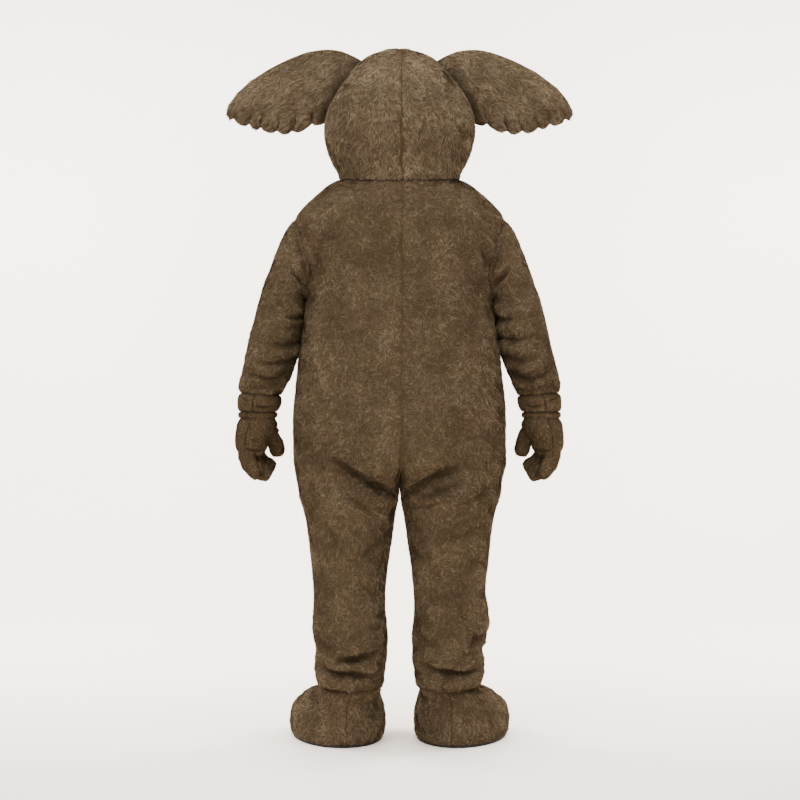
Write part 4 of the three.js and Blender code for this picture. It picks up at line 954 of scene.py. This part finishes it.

# %% [markdown]
# ## Pile
#
# Short plush has a dense pile that lies over in one direction, and wear brushes it into whorls a few
# centimetres across. Each strand here stands for a lock of hairs: a slim blade rooted in the backing
# that leans over along the whorl. The strands keep off the very edge of a panel, so seams stay open
# grooves, as they do in sewn plush.

# %% Pile
# Strand lengths and half width in millimetres, strands on a square metre where the pile shows and
# where it faces the front, how far whorls turn the lay (radians), the way it is brushed (x outwards),
# its tone, painted lighter or darker per part for how the light falls on it, how much the strands
# differ and how much painted shade it gets right at a seam.
PILE_KINDS = {
    "glove": {"length": (4, 6.5), "half_width": 0.6, "shown": 290000, "hidden": 200000, "whorl": 0.9,
              "brushed": (0, 0, -1), "tone": -0.3, "contrast": 2.2, "seam": 0.7},
    "cuff": {"length": (3.5, 6), "half_width": 0.75, "shown": 230000, "hidden": 140000, "whorl": 1.1,
             "brushed": (0, 0, -1), "tone": 0.0, "contrast": 1.3, "seam": 0.7},
    "ear": {"length": (10, 17), "half_width": 0.85, "shown": 205000, "hidden": 120000, "whorl": 0.55,
            "brushed": (0.75, 0, -0.65), "tone": 0.15, "contrast": 1.0, "seam": 0.15},
    "head": {"length": (9, 15), "half_width": 0.85, "shown": 190000, "hidden": 80000, "whorl": 0.9,
             "brushed": (0.2, 0, -1), "tone": 0.15, "contrast": 1.0, "seam": 0.6},
    "boot": {"length": (8, 13), "half_width": 0.9, "shown": 175000, "hidden": 75000, "whorl": 1.1,
             "brushed": (0, -0.5, -0.9), "tone": 0.1, "contrast": 1.0, "seam": 0.35},
    "sleeve": {"length": (7, 12), "half_width": 0.9, "shown": 176000, "hidden": 65000, "whorl": 1.2,
               "brushed": (0, 0, -1), "tone": 0.07, "contrast": 1.0, "seam": 0.8},
    "body": {"length": (7, 13), "half_width": 0.9, "shown": 168000, "hidden": 62000, "whorl": 1.5,
             "brushed": (0, 0, -1), "tone": 0.075, "contrast": 1.0, "seam": 0.9},
}
ROOT_DEPTH = 0.4 * MM
LEAN_LOW = math.radians(6)
LEAN_HIGH = math.radians(20)
TWIST = math.radians(50)
BARE_EDGE = 1.4 * MM
# How far from a seam the pile is shaded.
SEAM_LINE = 3.6 * MM
# A tuft is what lies in a cube of this size: its strands share tone and direction.
TUFT = 6 * MM
TUFT_KINDS = 4096
GATHER = 0.35
# A strand is painted darker than its tone at the root, as shade deep in the pile, and lighter at the
# tip, as light on it.
PAINTED_ROOT_SHADE = 0.11
PAINTED_TIP_LIGHT = 0.14


def tuft_of(roots):
    """Three numbers from 0 to 1 that a tuft's strands share, and the middle of the tuft."""
    cells = np.floor(roots / TUFT + 0.6 * waves(roots, 31, 0.03, 0.012)[:, None]).astype(np.int64)
    mixed = (cells[:, 0] * 73856093) ^ (cells[:, 1] * 19349663) ^ (cells[:, 2] * 83492791)
    table = np.random.RandomState(5).random_sample((TUFT_KINDS, 3))
    return table[mixed % TUFT_KINDS], (cells + 0.5) * TUFT


def tangent(vectors, normals):
    """What is left of the vectors along the cloth."""
    return vectors - normals * np.sum(vectors * normals, axis=1, keepdims=True)


def lay_of(points, normals, kind):
    """The way the pile lies at each point: brushed down or out, and turned in whorls."""
    outwards, forwards, upwards = kind["brushed"]
    brushed = np.tile([0.0, forwards, upwards], (len(points), 1))
    brushed[:, 0] = np.sign(points[:, 0]) * outwards
    down = tangent(brushed, normals)
    level = np.linalg.norm(down, axis=1) < 0.05
    down[level] = np.cross(normals[level], [1.0, 0.0, 0.0])
    down = unit(down)
    across = np.cross(normals, down)
    turn = kind["whorl"] * (waves(points, 21, 0.09, 0.035) + 0.5 * waves(points, 22, 0.035, 0.018))
    return down, across, turn


def add_pile(piece):
    """Set strands on the skin of one piece, as one joined mesh of its own."""
    kind = PILE_KINDS[piece.name.split("_")[0]]
    skin = skins[piece.name]
    points, triangles = skin["points"], skin["triangles"]
    a, b, c = (points[triangles[:, k]] for k in range(3))
    areas = np.linalg.norm(np.cross(b - a, c - a), axis=1) / 2
    random = np.random.RandomState(len(piece.name) * 97 + len(points) % 89)
    count = int(areas.sum() * kind["shown"])
    chosen = np.searchsorted(np.cumsum(areas), random.random_sample(count) * areas.sum())
    chosen = np.minimum(chosen, len(areas) - 1)
    u, v = random.random_sample(count), random.random_sample(count)
    over = u + v > 1
    u, v = np.where(over, 1 - u, u), np.where(over, 1 - v, v)
    shares = np.stack([1 - u - v, u, v], axis=1)

    def spread(values):
        corners = values[triangles[chosen]]
        return np.einsum("ij,ij...->i...", shares, corners)

    roots, normals = spread(points), unit(spread(skin["normals"]))
    rim, fold, seam = spread(skin["rim"]), spread(skin["fold"]), spread(skin["seam"])
    hidden = smoothstep(-normals[:, 1], 0.15, 0.55)
    keep = (rim > BARE_EDGE) & (random.random_sample(count) > hidden * (1 - kind["hidden"] / kind["shown"]))
    roots, normals, fold, rim, seam = roots[keep], normals[keep], fold[keep], rim[keep], seam[keep]
    count = len(roots)
    tuft, middle = tuft_of(roots)
    down, across, turn = lay_of(roots, normals, kind)
    turn = turn + 0.6 * (tuft[:, 0] - 0.5) + 0.1 * random.normal(size=count)
    lay = down * np.cos(turn)[:, None] + across * np.sin(turn)[:, None]
    lean = LEAN_LOW + (LEAN_HIGH - LEAN_LOW) * (0.6 * tuft[:, 1] + 0.4 * random.random_sample(count))
    shortest, longest = kind["length"]
    # Painted shade along the seams, where the pile parts.
    fold = np.maximum(fold, kind["seam"] * np.exp(-((rim / SEAM_LINE) ** 2)))
    length = (shortest + (longest - shortest) * random.random_sample(count)) * MM * (1 - 0.45 * fold)
    reach = lay * (np.cos(lean) * length)[:, None] + GATHER * tangent(middle - roots, normals)
    # A strand near a seam stops short of it, so that the seam stays an open line.
    away = unit(tangent(roots - seam, normals))
    over = np.minimum(0, np.sum(reach * away, axis=1) + 0.9 * rim)
    reach -= away * over[:, None]
    reach += normals * (np.sin(lean) * length)[:, None]
    twist = TWIST * (2 * random.random_sample(count) - 1)
    side = np.cross(normals, lay) * np.cos(twist)[:, None] + normals * np.sin(twist)[:, None]
    side *= (kind["half_width"] * MM * (0.7 + 0.6 * random.random_sample(count)))[:, None]
    roots = roots - normals * ROOT_DEPTH
    corners = np.stack([roots - side, roots + side, roots + reach], axis=1).reshape(-1, 3)
    mesh = bpy.data.meshes.new(piece.name.replace("_cloth", "").replace("_plush", "") + "_pile")
    mesh.vertices.add(count * 3)
    mesh.vertices.foreach_set("co", corners.astype(np.float32).ravel())
    mesh.loops.add(count * 3)
    mesh.loops.foreach_set("vertex_index", np.arange(count * 3, dtype=np.int32))
    mesh.polygons.add(count)
    mesh.polygons.foreach_set("loop_start", np.arange(0, count * 3, 3, dtype=np.int32))
    mesh.update(calc_edges=True)
    strands = link_new(mesh.name, mesh)
    # A few strands get a painted highlight, lighter as if their tips caught the light.
    painted_highlight = random.random_sample(count)
    tone = kind["tone"] + kind["contrast"] * (
        0.11 * tuft[:, 2] + 0.18 * random.random_sample(count) + 0.22 * painted_highlight**4
    )
    along = np.stack([tone - PAINTED_ROOT_SHADE, tone - PAINTED_ROOT_SHADE, tone + PAINTED_TIP_LIGHT], axis=1).ravel()
    set_number(strands, "tone", along)
    set_number(strands, "fold", np.repeat(fold, 3))
    mesh.materials.append(pile)
    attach(strands, "root")
    return strands


tufts = {name: add_pile(piece) for name, piece in cloth.items()}
print("strands:", sum(len(piece.data.polygons) for piece in tufts.values()))

# %% [markdown]
# ## Soles, nose and eyes
#
# The hard pieces keep the CAD form. The soles get a rounded edge, as foam sheet is buffed after it
# is cut. The nose is a soft dome with two shallow nostrils, and the eyes are polished buttons.


# %% Hard pieces
def firm_piece(name, material, levels=0, bevel=0.0):
    piece = merged_copy([name], name + "_finished")
    if bevel:
        limit = {"limit_method": "ANGLE", "angle_limit": math.radians(60)}
        add_modifier(piece, "BEVEL", width=bevel, segments=3, **limit)
    if levels:
        crease_sharp_edges(piece, 60, 0.7)
        add_modifier(piece, "SUBSURF", levels=levels, render_levels=levels)
    only(piece)
    bpy.ops.object.shade_smooth_by_angle(angle=math.radians(40))
    piece.data.materials.append(material)
    put_in_frame(piece, [name])
    return piece


for side in ("left", "right"):
    firm_piece(f"boot_{side}_sole", sole_rubber, bevel=2.5 * MM)
    firm_piece(f"eye_{side}", eye_plastic, levels=3)
nose = firm_piece("nose", nose_vinyl, levels=3)
points = points_of(nose)
for sign in (-1, 1):
    away = np.linalg.norm((points[:, [0, 2]] - [sign * 0.017, 0.188]) / [0.007, 0.010], axis=1)
    points[:, 1] += 0.006 * np.exp(-(away**2))
move_points(nose, points)
triangles = 0
for piece in bpy.context.scene.objects:
    if piece.type == "MESH" and piece.name not in nodes:
        piece.data.calc_loop_triangles()
        triangles += len(piece.data.loop_triangles)
print("triangles in all:", triangles)

# %% [markdown]
# ## What each sheet was cut to
#
# Every panel is listed with the flat size it was cut to and the area it covers.
# Width and length are those of the blank that the panel is cut from, along the cloth, and a sleeve's
# first number is its length along the arm.

# Width and length in metres and area in square metres. The centre-back seam runs a little to one
# side, so the two backs and the two head backs differ.
FLAT = [
    ("body_back_left", 0.45, 1.46, 0.50),
    ("body_back_right", 0.45, 1.46, 0.49),
    ("body_front_{}", 0.46, 1.48, 0.52),
    ("sleeve_{}", 0.53, 0.47, 0.175),
    ("cuff_{}", 0.36, 0.058, 0.019),
    ("head_back_left", 0.31, 0.48, 0.105),
    ("head_back_right", 0.31, 0.48, 0.102),
    ("head_front", 0.66, 0.50, 0.208),
    ("glove_{}", 0.34, 0.25, 0.078),
    ("glove_{}_band", 0.32, 0.020, 0.0060),
    ("boot_{}_outer", 0.50, 0.25, 0.092),
    ("boot_{}_inner", 0.48, 0.25, 0.089),
]
sheets = 0
for pattern, width, length, area in FLAT:
    for side in ("left", "right") if "{}" in pattern else ("",):
        name = pattern.format(side)
        sheets += 1
print("sheets:", sheets)

# %% [markdown]
# ## Studio
#
# The costume stands on a pale floor that sweeps up into a pale wall, in soft light from behind the
# camera and above. The camera stands where the photograph was taken from: about 5 m behind the
# costume, at the height of the seat, looking straight ahead through a longer lens.

# %% Floor, lights and camera
SWEEP = [(7.0, 0.0), (-2.6, 0.0), (-2.95, 0.05), (-3.2, 0.2), (-3.35, 0.45), (-3.4, 0.8), (-3.4, 5.0)]
bpy.ops.mesh.primitive_plane_add(size=1)
sweep = bpy.context.object
sweep.name = "studio_sweep"
mesh = bpy.data.meshes.new("studio_sweep")
corners = [(x, y, FLOOR + z) for y, z in SWEEP for x in (-6.0, 6.0)]
faces = [(2 * i, 2 * i + 1, 2 * i + 3, 2 * i + 2) for i in range(len(SWEEP) - 1)]
mesh.from_pydata(corners, [], faces)
sweep.data = mesh
add_modifier(sweep, "SUBSURF", levels=3, render_levels=3)
bpy.ops.object.shade_smooth()
paper, shader = new_material("pale_studio_floor", {"Roughness": 0.6})
ramp = ramp_over(paper, noise(paper, 0.9, 2.0), "Fac", [(0.3, "fbf0e4"), (0.7, "fff7ee")])
join_to_shader(paper, shader, ramp, "Color", "Base Color")
sweep.data.materials.append(paper)

world = bpy.data.worlds.new("studio_light")
world.use_nodes = True
world.node_tree.nodes["Background"].inputs["Color"].default_value = to_linear("fbf6f0")
world.node_tree.nodes["Background"].inputs["Strength"].default_value = 1.15
bpy.context.scene.world = world

LIGHTS = [
    {"name": "key", "at": (1.0, 3.4, 2.9), "aim": (0.0, 0.0, 0.0), "size": 1.8, "power": 190},
    {"name": "fill", "at": (-2.2, 4.2, 1.2), "aim": (0.0, 0.0, -0.4), "size": 2.4, "power": 40},
    {"name": "top", "at": (0.0, 0.5, 3.0), "aim": (0.0, 0.1, 0.0), "size": 2.2, "power": 230},
    {"name": "wall_left", "at": (2.3, -1.4, 0.6), "aim": (-0.4, -3.4, -0.3), "size": 1.6, "power": 210},
    {"name": "wall_right", "at": (-2.3, -1.4, 0.6), "aim": (0.4, -3.4, -0.3), "size": 1.6, "power": 210},
]
for row in LIGHTS:
    light = bpy.data.lights.new(row["name"], "AREA")
    light.energy = row["power"]
    light.size = row["size"]
    lamp = link_new(row["name"], light)
    lamp.location = row["at"]
    direction = np.array(row["aim"]) - np.array(row["at"])
    level = math.hypot(direction[0], direction[1])
    lamp.rotation_euler = (math.atan2(level, -direction[2]), 0, math.atan2(-direction[0], direction[1]))

SENSOR = 36
lens = bpy.data.cameras.new("photo_camera")
lens.sensor_width = SENSOR
lens.lens = PIXEL_FOCAL / PICTURE * SENSOR
camera = link_new("photo_camera", lens)
camera.location = (CAMERA_ASIDE * MM, CAMERA_AWAY * MM, CAMERA_UP * MM)
camera.rotation_euler = (math.pi / 2, 0, math.pi)
bpy.context.scene.camera = camera
